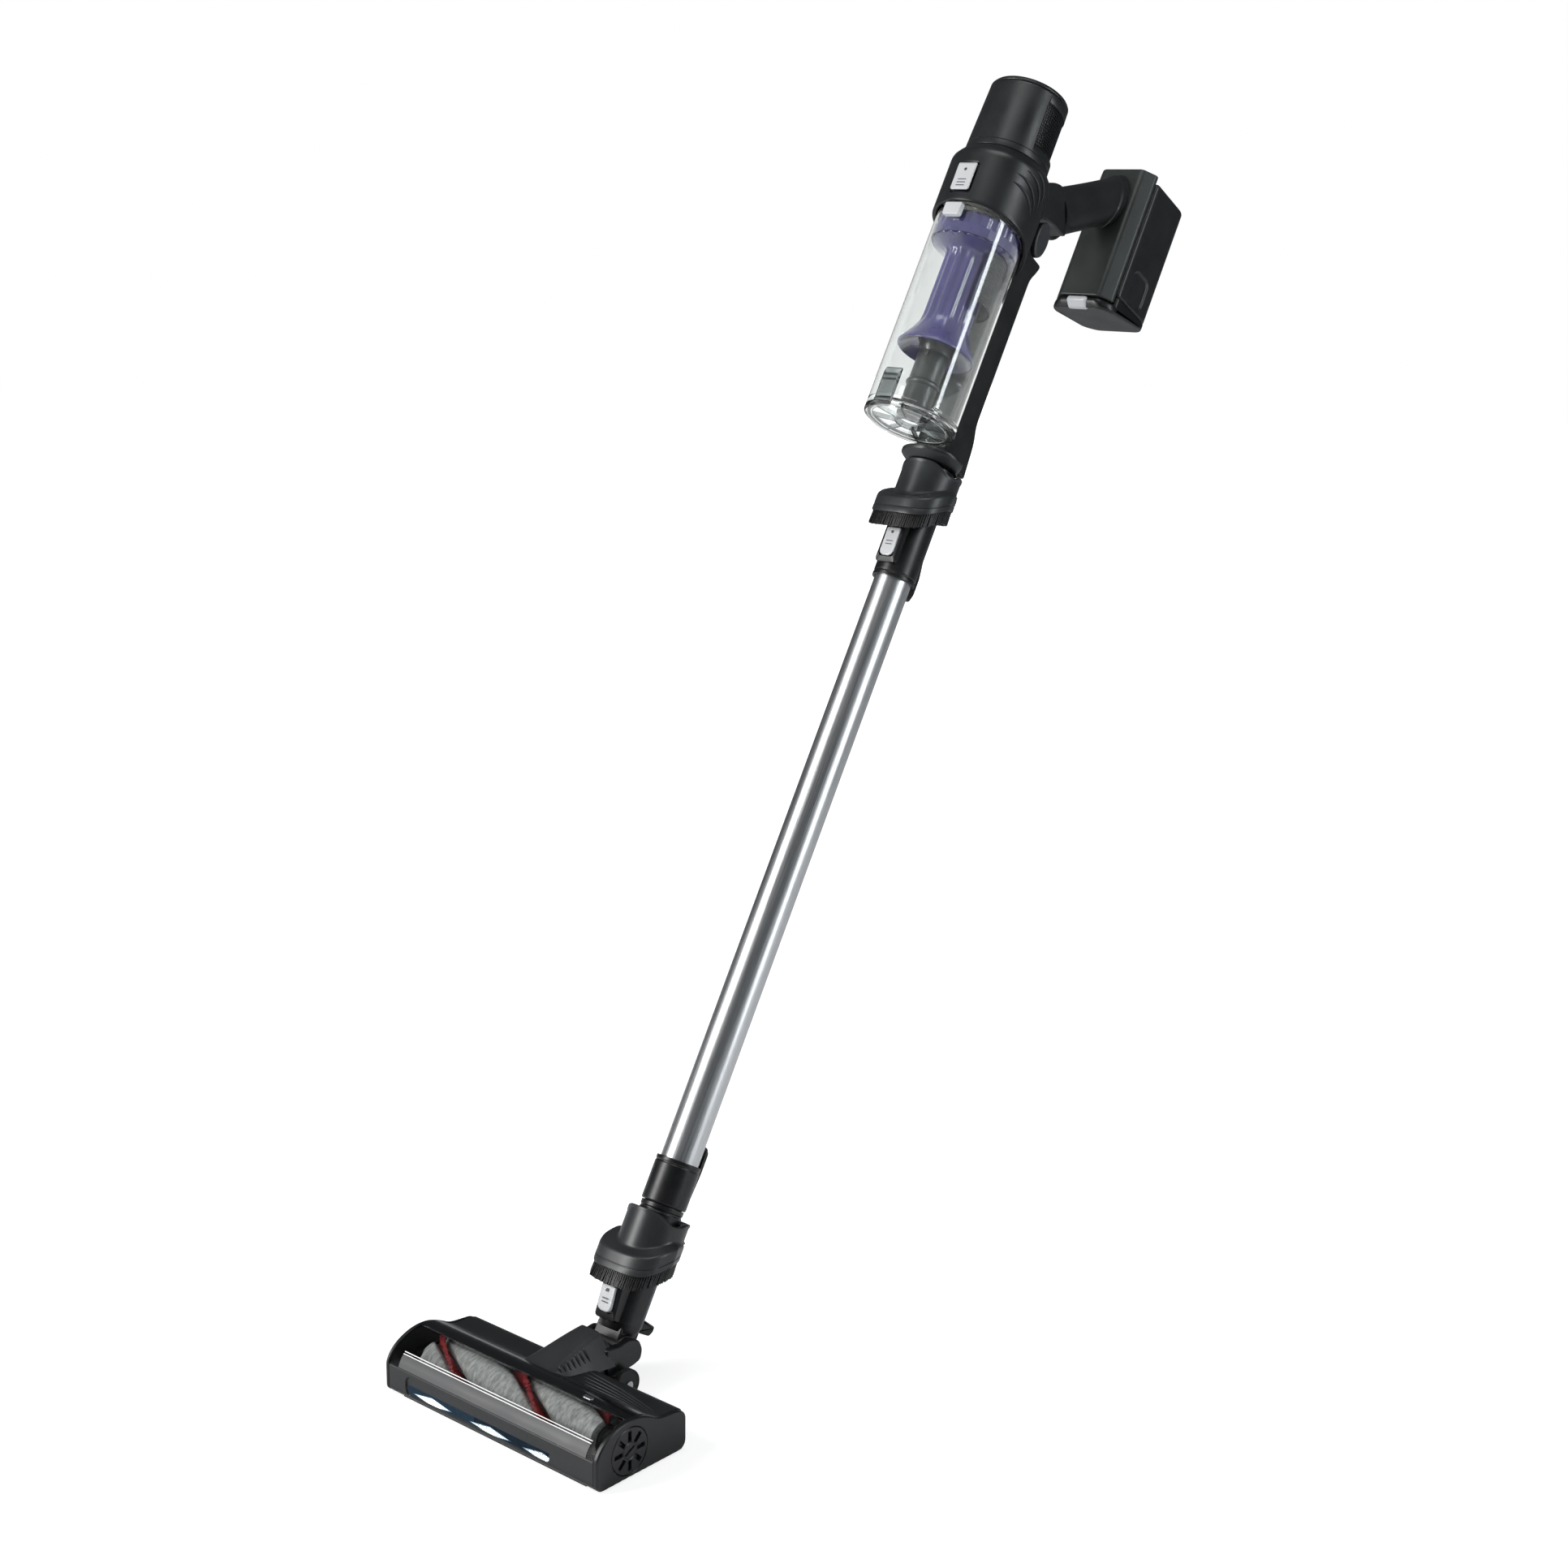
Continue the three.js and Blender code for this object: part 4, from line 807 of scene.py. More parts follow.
def hood_arch():
    """Sections across, set one behind the other: a flat-topped tent with eased ridges over either
    a level underside or, beyond the turret's front, the circle the turret turns in."""
    turret_room, turret_front = 25.6, 60.5
    stations = flowing(HOOD, 40)
    rows = []
    for y, top, half_top, half, low in stations:
        tent = rounded([(half, low), (half_top, top), (-half_top, top), (-half, low)], [1.2, 4, 4, 1.2], 6)
        tent = tent[(tent[:, 1] > low + 0.01) | (np.abs(tent[:, 0]) > half - 2)]
        x = np.linspace(half - 1.6, -half + 1.6, 48)[::-1]
        axis_z = SWIVEL_AT[2] + (y - SWIVEL_AT[1]) * SWIVEL_AXIS[2] / SWIVEL_AXIS[1]
        turret = axis_z + np.sqrt(np.maximum(turret_room ** 2 - x ** 2, 0))
        under = np.where((np.abs(x) < turret_room - 0.1) & (y > turret_front), np.maximum(turret, low), low)
        section = np.concatenate([tent, as_points(x, np.minimum(under, top - 1.5))])
        rows.append(as_points(section[:, 0], y, section[:, 1]))
    return np.stack(rows)


def hood_ribs():
    """Short ribs side by side on the hood's right facet, each a rounded bar down the slope."""
    bars = []
    station = np.array(HOOD).T
    for k in range(7):
        y = 13 + 5.0 * k
        top, half_top, half, low = (np.interp(y, station[0], values) for values in station[1:])
        t = np.linspace(0.1, 0.6, 16)
        x, z = half_top + (half - half_top) * t, top + (low - top) * t
        bars.append(ridge(as_points(x + 0.1, y + 3 * t, z + 0.1), 2.2, 2.4))
    return np.stack(bars)


hood_grey = moulded("hood_grey", (0.024, 0.025, 0.026), 0.42, grain=900, depth=0.3)
piece("swivel_hood", on_head, [(hood_arch(), "lidded"), (hood_ribs(), "lidded")],
      "floor_head", [hood_grey], ["neck_hood"], crease=30)

WHEEL_Y, WHEEL_R = 76, 13.4


def tyre(side):
    """Profile of (distance across, radius): a crowned tread with two grooves, a wall and a hub."""
    run = np.array([(28.1, 2.5), (28.1, 7.5), (28.6, 8.2), (28.6, 11.6), (28.1, 12.2), (28.5, 13.1),
                    (29.2, 13.4), (30.2, 13.4), (30.4, 12.9), (30.9, 12.9), (31.1, 13.4), (32, 13.4),
                    (32.2, 12.9),
                    (32.7, 12.9), (32.9, 13.4), (33.8, 13.4), (34.5, 13.1), (34.9, 12.2), (34.4, 11.6),
                    (34.4, 8.2), (34.9, 7.5), (34.9, 2.5)])
    a = full_turn(64)
    x, r = run[:, :1], run[:, 1:]
    return as_points(side * x, WHEEL_Y + r * np.cos(a), WHEEL_R + r * np.sin(a))


for name, side in (("left", -1), ("right", 1)):
    piece(f"{name}_wheel", on_head, [(tyre(side), "loop")], f"wheel_{name}", [rubber],
          [f"rear_wheel_{name}"])
    dress(f"wheel_pin_{name}", steel)
dress("pivot_pin", steel)

cheek = [(62, 20.5), (76, 20.5), (92, 20.5), (102, 23), (104.6, 31.8), (101, 41), (92, 45.6), (80, 44),
         (62, 46)]
piece("yoke_turret", on_head, [
    (about_swivel([(9, -42.4), (14.8, -42.4), (14.8, -29), (23.8, -29), (24.6, -28.2), (24.6, -17),
                   (23.6, -16), (9, -16)]), "loop"),
    (across_bar(cheek, 16.5, 23.6, 3.5, 1.6), "lidded"),
    (across_bar(cheek, -23.6, -16.5, 3.5, 1.6), "lidded"),
], "yoke", [black_satin], ["swivel_yoke"])

# ============================================================ neck and its release button
# A black tube rises from the swivel's pin. Its front boss frames the white button that lets the
# wand go, and a small tab behind is pushed with the foot.

ACROSS = np.array([1.0, 0, 0])
UP_WAND = -np.array(joint["battery_slide"]["axis"])
TO_BACK = -np.array(joint["trigger_pull"]["axis"])
NECK_PIN = np.array(joint["neck_pitch"]["pos_m"])
WAND_LEAN = math.atan2(UP_WAND[1], UP_WAND[2])


def on_wand(points):
    """Points (across, towards the back, along the wand) in mm, from the middle of the neck's pin."""
    return NECK_PIN + MM * points @ np.stack([ACROSS, TO_BACK, UP_WAND])


def about_wand(radius, angle, along, back=0.0):
    """Points at a radius and an angle, from the right over the back, about a line parallel to
    the wand."""
    return as_points(radius * np.cos(angle), back + radius * np.sin(angle), along)


def turned(profile, back=0.0, facets=96, corner=0.0, steps=3):
    """A closed profile of (radius, distance along the wand), its corners eased, turned about a
    line parallel to the wand."""
    run = rounded(profile, corner, steps) if np.any(corner) else np.array(profile, float)
    return about_wand(run[:, :1], full_turn(facets), run[:, 1:], back)


def upright(half, low, high):
    """Corners of a rectangle seen from the front, even on both sides of the middle."""
    return [(half, low), (half, high), (-half, high), (-half, low)]


def on_face(outline, face, lift):
    """An outline laid over a leaning face, whose height is read off points (along, back), and
    moved back from it by the lift."""
    back = np.interp(outline[:, 1], *np.array(face, float).T) + lift
    return as_points(outline[:, 0], back, outline[:, 1])


def button_frame(half, low, high, pocket, back, face, corner=3):
    """A raised frame round a button: outer and inner rounded outlines of the same count, joined
    in a loop over the leaning face. The pocket is its half width, foot and top."""
    outer = rounded(upright(half, low, high), corner, 6)
    inner = rounded(upright(*pocket), corner, 6)
    return np.stack([
        as_points(outer[:, 0], back, outer[:, 1]), on_face(outer, face, 0),
        on_face(drawn_in(outer, 0.5), face, -0.45), on_face(drawn_in(inner, -0.3), face, -0.45),
        on_face(inner, face, 0.1), as_points(inner[:, 0], back, inner[:, 1])])


def button(half, low, high, face, thick, round_low, edge=0.9):
    """A push button seen from the front, its lower end rounder than its upper. Its rim is eased
    all round on a quarter circle: inset edge(1 - cos a) at depth edge(1 - sin a)."""
    outline = rounded(upright(half, low, high), [round_low, 1.6, 1.6, round_low], 10)
    rim = [on_face(drawn_in(outline, edge * (1 - np.cos(a))), face, edge * (1 - np.sin(a)))
           for a in np.linspace(0, math.pi / 2, 5)]
    return np.stack([on_face(outline, face, thick), *rim,
                     on_face(drawn_in(outline, edge + 0.5), face, 0)])


def marks_on(face, dot, lines, half, radius=1.5, line_half=0.4):
    """A printed dot and short lines, 0.12 mm proud of a leaning face: plain shapes, not letters."""
    shapes = [ellipse(0, dot, radius, radius, 16)]
    shapes += [rounded(upright(half, s - line_half, s + line_half), 0.2, 3) for s in lines]
    return [np.stack([on_face(outline, face, lift) for lift in (0.2, -0.12)]) for outline in shapes]


white_gloss = moulded("white_gloss", (0.60, 0.61, 0.62), 0.22, grain=300, depth=0.03, lighter=1.06,
                      Coat_Weight=0.4)
print_grey = moulded("print_grey", (0.05, 0.05, 0.055), 0.5)

piece("neck_pipe", on_wand, [
    (turned([(12.5, 14), (16.3, 14), (19, 22), (19, 118), (18.4, 118.6), (18.4, 120), (19, 120.6),
             (19, 124.4), (17.2, 124.4), (17.2, 62), (12.5, 60)], corner=0.5), "loop"),
    (disc(14, -16, 16, 0, 0, 1.2, 48), "lidded"),
    (across_bar([(-12, 0), (12, 0), (12, 18), (-12, 18)], -14, 14, 1, 1), "lidded"),
    (button_frame(11.3, 20, 53, (8.2, 25.5, 48.4), -14,
                  [(20, -21), (24, -22.6), (42, -28.4), (49, -27.2), (53, -22)]), "loop"),
    (across_bar([(-19.6, 24), (-22, 36), (-22.9, 50), (-14, 50), (-14, 24)], -8.4, 8.4, 0.3, 0.1),
     "lidded"),
    (across_bar([(15, 17), (33, 17), (36, 21), (36, 26), (15, 30)], -9, 9, 1.5, 2), "lidded"),
    (across_bar([(20.2, 30), (20.2, 52), (17, 52), (17, 30)], -7, 7, 0.8, 0.6), "lidded"),
], "handset", [black_satin], ["neck_tube"])
head_face = [(24, -26.0), (42, -31), (48, -30.2)]
piece("neck_button_cap", on_wand, [
    (button(7.9, 25.8, 47.8, head_face, 2.5, 6.5), "lidded"),
    *[(m, "lidded", 1) for m in marks_on([(s, q - 0.02) for s, q in head_face], 43.5, (36.5, 33.5), 3.4)],
], "head_button", [white_gloss, print_grey], ["head_release_button"])

# ============================================================ the two slide-down dusting brushes
# An oval skirt moulded in one with a round sleeve that slides on the neck or the wand's upper end.
# Black nylon tufts stand in a slot round the skirt's lower edge.

SKIRT_HALF, SKIRT_DEPTH, SKIRT_BACK = 36, 31, -4.5
SLEEVE_R, SLEEVE_BORE = 27.3, 20.2
SKIRT_EDGE = [(-60, 59), (-32, 60.5), (-24, 66), (-5, 79), (30, 90), (60, 92)]
SKIRT_TOP = [(-60, 76), (-34, 77.5), (-26, 82), (-18, 88), (-5, 96), (30, 102), (60, 102)]
SLEEVE_LIP = [(-60, 119), (-22, 117.5), (-10, 110.5), (0, 112), (8, 116.5), (60, 117.5)]


def eased(back, points, reach=3.0):
    """Height of a bent edge at a place, averaged over a few millimetres either side of it."""
    edge_at, height = np.array(points, float).T
    return np.mean([np.interp(back + d, edge_at, height) for d in np.linspace(-reach, reach, 9)], axis=0)


def skirt_line(a, inset):
    """Plan of the skirt: an oval squared by raising its cosine and sine to the power 0.72, and
    drawn in by a quarter towards its back."""
    x, q = (far * np.sign(wave) * np.abs(wave) ** 0.72
            for far, wave in ((SKIRT_HALF - inset, np.cos(a)), (SKIRT_DEPTH - inset, np.sin(a))))
    return x * (1 - 0.25 * np.clip(q / 24, 0, 1) ** 0.8), SKIRT_BACK + q


def dusting_collar(rise):
    """Rings round the wand from the skirt's foot, up its wall, over its shoulder on to the sleeve,
    over the sleeve's lip and down inside. Each is an oval or a circle whose height follows an edge."""
    a = full_turn(144)

    def oval(inset, edge, lift):
        x, q = skirt_line(a, inset)
        return as_points(x, q, rise + eased(q, edge) + lift)

    def circle(radius, edge, lift):
        return about_wand(radius, a, rise + eased(radius * np.sin(a), edge) + lift)

    foot = [(4.4, 4), (4.4, 0.5), (3.8, 0), (0.9, 0), (0.2, 0.3), (0, 1.2), (0, 5.2), (0.5, 5.6),
            (0.5, 6.3), (0, 6.7)]
    shoulder = [(0, -3.2), (0.35, -1.5), (1.3, -0.5), (2.6, -0.1)]
    root = [(SLEEVE_R + 1.6, 0.6), (SLEEVE_R + 0.5, 1.6), (SLEEVE_R, 3.4)]
    lip = [(SLEEVE_R, -3.4), (SLEEVE_R + 0.5, -2.6), (SLEEVE_R + 0.6, -0.7), (SLEEVE_R - 0.2, 0),
           (24.5, 0), (23.8, -0.6), (SLEEVE_BORE, -3)]
    return np.stack([
        *[oval(inset, SKIRT_EDGE, lift) for inset, lift in foot],
        *[oval(inset, SKIRT_TOP, lift) for inset, lift in shoulder],
        *[circle(radius, SKIRT_TOP, lift) for radius, lift in root],
        *[circle(radius, SLEEVE_LIP, lift) for radius, lift in lip],
        circle(SLEEVE_BORE, SKIRT_EDGE, 18), oval(5.6, SKIRT_EDGE, 12)])


def dusting_tufts(rise):
    """Two staggered rows of four-sided tufts evenly spaced round the skirt's foot, 13 mm long, each
    splayed towards its tip and leaned by a small seeded angle."""
    rng = np.random.default_rng(11)
    count = 104
    turn = np.linspace(0, 2 * math.pi, 2001)
    walked = np.append(0, np.cumsum(np.linalg.norm(np.diff(skirt_line(turn, 2.6)), axis=0)))
    a = np.interp(np.linspace(0, walked[-1], 2 * count, endpoint=False), walked, turn)[:, None, None]
    inset = np.tile([1.9, 3.4], count)[:, None, None]
    drop = np.array([-3.2, 4.0, 12.6])[None, :, None]
    wide = np.array([0.8, 0.85, 1.15])[None, :, None]
    corner = np.arange(4)[None, None, :] * math.pi / 2 + math.pi / 4
    lean = rng.normal(0, 0.28, (2 * count, 1, 1)) * drop / 12
    x, q = skirt_line(a, inset)
    foot = eased(q, SKIRT_EDGE)
    x, q = x + wide * np.cos(corner + a) + lean, q + wide * np.sin(corner + a) + lean
    trim = rng.uniform(-0.4, 0.2, (2 * count, 1, 1)) * (drop > 5)
    return as_points(x, q, rise + foot - drop - trim)


collar_grey = moulded("collar_grey", (0.020, 0.0215, 0.0225), 0.36)
bristle_black = fibres("bristle_black", (0.003, 0.003, 0.003), (0.02, 0.02, 0.02), (900, 900, 160), 0.5)
collar_rise = 1000 * (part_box("upper_collar")[0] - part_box("lower_collar")[0]).length
for name, rise in (("lower", 0), ("upper", collar_rise)):
    piece(f"{name}_dusting_collar", on_wand, [(dusting_collar(rise), "loop")], f"{name}_brush",
          [collar_grey], [f"{name}_collar"], crease=50)
    piece(f"{name}_dusting_bristles", on_wand, [(dusting_tufts(rise), "lidded")], f"{name}_brush",
          [bristle_black], [f"{name}_bristles"])

# ============================================================ wand and its two connectors
# A drawn aluminium tube, brushed along its length and anodised, is glued into black connectors.
# The upper one carries a white button and plugs into the handset, the lower into the neck.

def brushed_aluminium():
    """Fine scratches along the tube: a noise much longer along the wand than round it changes the
    shade and roughness and stands as faint relief."""
    material, tree, shader = new_material("brushed_aluminium")
    shader.inputs["Metallic"].default_value = 1
    place, turn, scale, scratch = new_nodes(tree, "TexCoord", "Mapping", "VectorMath", "TexNoise")
    turn.inputs["Rotation"].default_value = (WAND_LEAN, 0, 0)
    scale.operation = "MULTIPLY"
    scale.inputs[1].default_value = (1400, 1400, 12)
    scratch.inputs["Scale"].default_value = 1
    scratch.inputs["Detail"].default_value = 3
    link = tree.links.new
    link(place.outputs["Object"], turn.inputs["Vector"])
    link(turn.outputs["Vector"], scale.inputs[0])
    link(scale.outputs[0], scratch.inputs["Vector"])
    varied(tree, shader, scratch.outputs["Fac"], ((0.60, 0.61, 0.615), (0.72, 0.725, 0.73)), (0.27, 0.37))
    bumped(tree, shader, scratch.outputs["Fac"], 0.08)
    return material


piece("aluminium_tube", on_wand, [
    (turned([(15.4, 141.3), (16.9, 141.3), (16.9, 732.7), (15.4, 732.7)], corner=0.3), "loop"),
], "handset", [brushed_aluminium()], ["wand_tube"])
piece("wand_foot_sleeve", on_wand, [
    (turned([(14.2, 84.5), (16.8, 84.5), (16.8, 124.9), (19.3, 124.9), (20, 126.2), (20, 158.6),
             (19.5, 159.2), (19.5, 160.2), (20, 160.8), (20, 163.9), (17.2, 163.9), (17.2, 140.6),
             (14.2, 140.6)], corner=0.4), "loop"),
    (across_bar([(15, 128), (23, 132), (25.5, 160), (25.5, 178), (22, 182.6), (17.6, 183), (17.6, 160),
                 (15, 150)], -8, 8, 2, 2.2), "lidded"),
], "handset", [black_satin], ["lower_connector"])
wand_face = [(720, -23.7), (752, -24.3)]
piece("wand_top_sleeve", on_wand, [
    (turned([(17.2, 707.6), (19.6, 707.6), (19.6, 710.8), (19.1, 711.4), (19.1, 712.4), (19.6, 713),
             (19.6, 816.8), (16.8, 816.8), (16.8, 831.3), (14.2, 831.3), (14.2, 733.6),
             (17.2, 733.6)], corner=0.4), "loop"),
    (across_bar([(15, 698), (23, 698), (26, 706), (26, 722), (21, 746), (15, 750)], -8, 8, 2, 2.2),
     "lidded"),
    (button_frame(10.6, 718, 757, (7.8, 722.8, 750.6), -14,
                  [(718, -20.2), (721.5, -22), (752, -22.5), (757, -20.4)]), "loop"),
    (across_bar([(-18.6, 721), (-19.9, 723), (-19.9, 751), (-18.6, 753)], -8, 8, 0.3, 0.1), "lidded"),
], "handset", [black_satin], ["upper_connector"])
piece("wand_button_cap", on_wand, [
    (button(7.4, 723.4, 750, wand_face, 1.9, 6.2), "lidded"),
    *[(m, "lidded", 1) for m in marks_on(wand_face, 745.5, (737, 734), 3.6)],
], "wand_button", [white_gloss, print_grey], ["wand_release_button"])

# ============================================================ handset: spine, inlet and trigger
# One long dark moulding: the air duct up the back of the bin, the oval plate that the wand plugs
# into, and the root of the handle, with the trigger set across it like a round key.

BIN_BACK, BIN_R, RING_R, RING_TOP = -54.5, 42.3, 47.0, 1086
SPINE_HALF = 1000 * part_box("control_board")[1].x - 0.5
HANDLE_RISE = math.radians(37)
HANDLE_FROM = np.array([30.0, 1097.0])
HANDLE_RUN = np.array([math.cos(HANDLE_RISE), math.sin(HANDLE_RISE)])
HANDLE_OVER = np.array([-HANDLE_RUN[1], HANDLE_RUN[0]])


def spine_block():
    """Outline from the side carried across, its long edges well rounded. Points ahead of the bin,
    the ring or the motor go back to that round wall: back >= axis + sqrt(R^2 - x^2)."""
    root_top, root_low = HANDLE_FROM + 24 * HANDLE_OVER, HANDLE_FROM - 24 * HANDLE_OVER
    notch = np.radians(np.linspace(270, 90, 17))
    key = as_points(6.5 + 10.6 * np.cos(notch), 1058 + 19.2 * np.sin(notch))
    behind = [(-8, 827.5), (24, 820.5), (20.5, 856), (15, 870), (15, 1019), (20.5, 1029), (23.5, 1037.5),
              (6.5, 1038.8)]
    outline = rounded(behind, [0, 4, 12, 12, 14, 8, 4.5, 0], 4)[5:-5]
    over = rounded([(6.5, 1077.2), (23, 1079), tuple(root_low), tuple(root_top), (3, 1113), (-12, 1104)],
                   [0, 3, 9, 10, 8, 0], 4)[5:-4]
    front = as_points(-30.0, np.linspace(1104, 828, 110))
    outline = np.concatenate([outline, key, over, front[1:]])
    grid = slab(outline, -SPINE_HALF, SPINE_HALF, 1.6, steps=5, between=np.linspace(-15, 15, 16))
    x, q, s = grid[..., 0], grid[..., 1], grid[..., 2]
    round_wall = np.array([(1000.8, BIN_R + 0.7), (1001.4, RING_R + 0.35), (RING_TOP, RING_R + 0.35),
                           (1094, 41.2), (1096, 41.2)])
    wall = np.interp(s, *round_wall.T)
    grid[..., 1] = np.maximum(q, BIN_BACK + np.sqrt(wall ** 2 - x ** 2))
    return grid


def inlet_plate():
    """Ovals one above the other: a cup that opens from the wand's round to the wide plate."""
    a = full_turn(96)
    rows = np.array([(17.2, 17.2, 0, 817.8), (23, 22.6, -3, 817.8), (24, 23.6, -4.4, 818.6),
                     (29, 25.2, -7.6, 823.2), (30, 26, -8, 824.4), (30, 26, -8, 827),
                     (29.4, 25.4, -8, 827.8), (17.2, 17.2, 0, 827.9)])
    half, depth, back, s = (rows[:, k:k + 1] for k in range(4))
    return as_points(half * np.cos(a), back + depth * np.sin(a), s)


piece("spine_and_inlet", on_wand, [(spine_block(), "lidded"), (inlet_plate(), "loop")],
      "handset", [charcoal], ["spine_duct"], crease=45)
trigger_grey = moulded("trigger_grey", (0.035, 0.037, 0.039), 0.4)
TRIGGER_HALF = 1000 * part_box("trigger")[1].x
piece("trigger_key", on_wand, [
    (slab(ellipse(11, 1058, 9.6, 17.4, 64), -TRIGGER_HALF, TRIGGER_HALF, 1.8), "lidded"),
], "trigger", [trigger_grey], ["trigger"])

# ============================================================ handset: bin and cyclone
# A clear cup with a moulded rim, closed below by a hinged clear lid with ribs and a snap catch.
# Inside hang the indigo cyclone with its moulded ribs, the grey core tube and a steel screen.

JOINT_EDGE = [(-140, 1037), (-101, 1033), (-70, 1029.5), (-50, 1025.5), (-34, 1018), (-20, 1009),
              (-7, 1003), (20, 1001)]


def bin_wall():
    """Up the outside, over a rim that follows the slanted joint, and down the inside. A bead runs
    round the foot and another just under the rim."""
    a = full_turn(128)

    def at(radius, level, lift=0.0):
        q = BIN_BACK + radius * np.sin(a)
        s = eased(q, JOINT_EDGE) + lift if level is None else np.full_like(a, level)
        return about_wand(radius, a, s, BIN_BACK)

    return np.stack([
        at(BIN_R - 2, 839.7), at(BIN_R - 0.4, 839.7), at(BIN_R, 840.2), at(BIN_R, 843.4),
        at(BIN_R - 0.5, 844.1), at(BIN_R - 0.5, 845), at(BIN_R, 845.7), at(BIN_R, None, -7),
        at(BIN_R, None, -1.2), at(BIN_R - 0.4, None, -0.8), at(BIN_R - 1.6, None, -0.8),
        at(BIN_R - 2, None, -1.2), at(BIN_R - 2, 848)])


def cyclone():
    """A turned body with moulded flutes: on the band and the tube the radius swells with
    the square of cos(n angle), and the skirt stays smooth."""
    run = np.array([(19, 1029, 0), (36.6, 1029, 0), (38.2, 1027.6, 0), (38.6, 1026, 1), (38.6, 1007, 1),
                    (37.6, 1005.6, 0), (31, 1003.6, 0), (25, 1001, 0), (22.6, 998, 1), (22.5, 990, 1),
                    (22.5, 960, 1), (22.5, 936, 1), (23.6, 928, 0.6), (28, 919, 0), (33.6, 910, 0),
                    (35.9, 906, 0), (35.6, 904.6, 0), (34.2, 904.2, 0), (27, 912, 0), (19, 914, 0)])
    a = full_turn(480)[None]
    r, s, fluted = (run[:, k:k + 1] for k in range(3))
    band_foot, band_flutes, tube_flutes, flute_depth = 1003, 24, 14, 1.3
    count = np.where(s > band_foot, band_flutes, tube_flutes)
    swell = fluted * flute_depth * (np.cos(count / 2 * a) ** 2 - 1)
    return about_wand(r + swell, a, s, BIN_BACK)


def screen_holes(radius, s0, s1, from_angle, to_angle, wide, high, wall):
    """A perforated skin: square cells side by side, each a grid from its outer edge to a round
    hole, through the skin and out to the edge again on the back."""
    hole_share = 0.34
    across = int(np.radians(to_angle - from_angle) * radius / wide)
    up = int((s1 - s0) / high)
    a, b = np.meshgrid(np.arange(across), np.arange(up), indexing="ij")
    a, b = a.ravel()[:, None, None], b.ravel()[:, None, None]
    t = full_turn(8) + math.pi / 4
    square = np.array([(1, 1), (0, 1), (-1, 1), (-1, 0), (-1, -1), (0, -1), (1, -1), (1, 0)]) / 2
    hole = as_points(np.cos(t), np.sin(t)) * hole_share
    ring = np.stack([square, hole, hole, square])[None]
    depth = np.array([0, 0, wall, wall])[None, :, None]
    angle = np.radians(from_angle) + (a + 0.5 + ring[..., 0]) * np.radians(to_angle - from_angle) / across
    s = s0 + (b + 0.5 + ring[..., 1]) * (s1 - s0) / up
    return about_wand(radius - depth, angle, s, BIN_BACK)


bin_clear = clear_plastic("clear_bin", (0.93, 0.955, 0.945), 0.012)
indigo = moulded("indigo_gloss", (0.014, 0.010, 0.064), 0.22, grain=300, depth=0.004, lighter=1.5,
                 Coat_Weight=0.6)
stem_grey = moulded("stem_grey", (0.012, 0.013, 0.013), 0.3)
screen_steel = moulded("screen_steel", (0.05, 0.05, 0.052), 0.4, Metallic=0.8)
smoke_catch = clear_plastic("smoked_catch", (0.30, 0.32, 0.32), 0.08)
piece("clear_cup", on_wand, [(bin_wall(), "loop")], "bin", [bin_clear], ["bin_cup"],
      crease=50)
piece("cyclone", on_wand, [(cyclone(), "loop")], "bin", [indigo],
      ["cyclone_shroud"], crease=60)
piece("cyclone_core", on_wand, [
    (turned([(11, 846.2), (14.5, 846.2), (14.5, 903), (17.5, 912), (17.5, 1000), (14, 1000), (14, 912),
             (11, 903)], BIN_BACK, 72, 0.6), "loop"),
    (turned([(11, 870), (14.5, 870), (16, 872), (16, 874), (14.5, 876), (11, 876)], BIN_BACK, 72, 0.4),
     "loop"),
], "bin", [stem_grey], ["cyclone_stem"])
piece("dust_screen", on_wand, [(screen_holes(33.4, 954.2, 1002.6, -21, 82, 2.4, 2.4, 1.2), "tube")],
      "bin", [screen_steel], ["mesh_screen"], crease=60)
dress("shroud_seal", indigo)
dress("lid_seal", rubber)


def lid_ribs():
    """Eight low bars from the hub towards the rim, on the inside of the lid."""
    bar = rounded([(14, -0.8), (35, -0.8), (35, 0.8), (14, 0.8)], 0.4, 3)
    made = []
    for k in range(8):
        c, s = math.cos(k * math.pi / 4 + 0.39), math.sin(k * math.pi / 4 + 0.39)
        spun = as_points(bar[:, 0] * c - bar[:, 1] * s, BIN_BACK + bar[:, 0] * s + bar[:, 1] * c)
        made.append(slab(spun, 838, 842.3, 0.3, "xy"))
    return np.stack(made)


piece("clear_lid", on_wand, [
    (turned([(0.01, 834.6), (40.6, 834.6), (42.3, 836), (42.3, 839.1), (36.4, 839.1), (36.4, 841.8),
             (34.8, 841.8), (34.8, 838.2), (0.01, 838.2)], BIN_BACK, 96, 0.5), "loop"),
    (turned([(11, 838), (13.6, 838), (13.6, 843.4), (11, 843.4)], BIN_BACK, 64, 0.4), "loop", 1),
    (lid_ribs(), "lidded", 1),
], "lid", [bin_clear, smoke_catch], ["bin_lid"])
piece("lid_snap", on_wand, [
    (across_bar([(-97.2, 868), (-99, 869), (-100.6, 864), (-100.6, 836), (-98.8, 834), (-97.2, 834)],
                -9, 9, 0.7, 0.8), "lidded"),
    *[(across_bar([(-99.4, rib), (-101, rib), (-101, rib - 2), (-99.4, rib - 2)], -7, 7, 0.4, 0.4),
       "lidded") for rib in (862.5, 858)],
], "lid_catch", [smoke_catch], ["lid_catch"])
catch_face = [(1010, -102.6), (1040, -102.6)]
piece("bin_snap", on_wand, [(button(9, 1018.2, 1030.3, catch_face, 5.2, 2.2, 0.8), "lidded")],
      "bin", [white_gloss], ["bin_catch"])

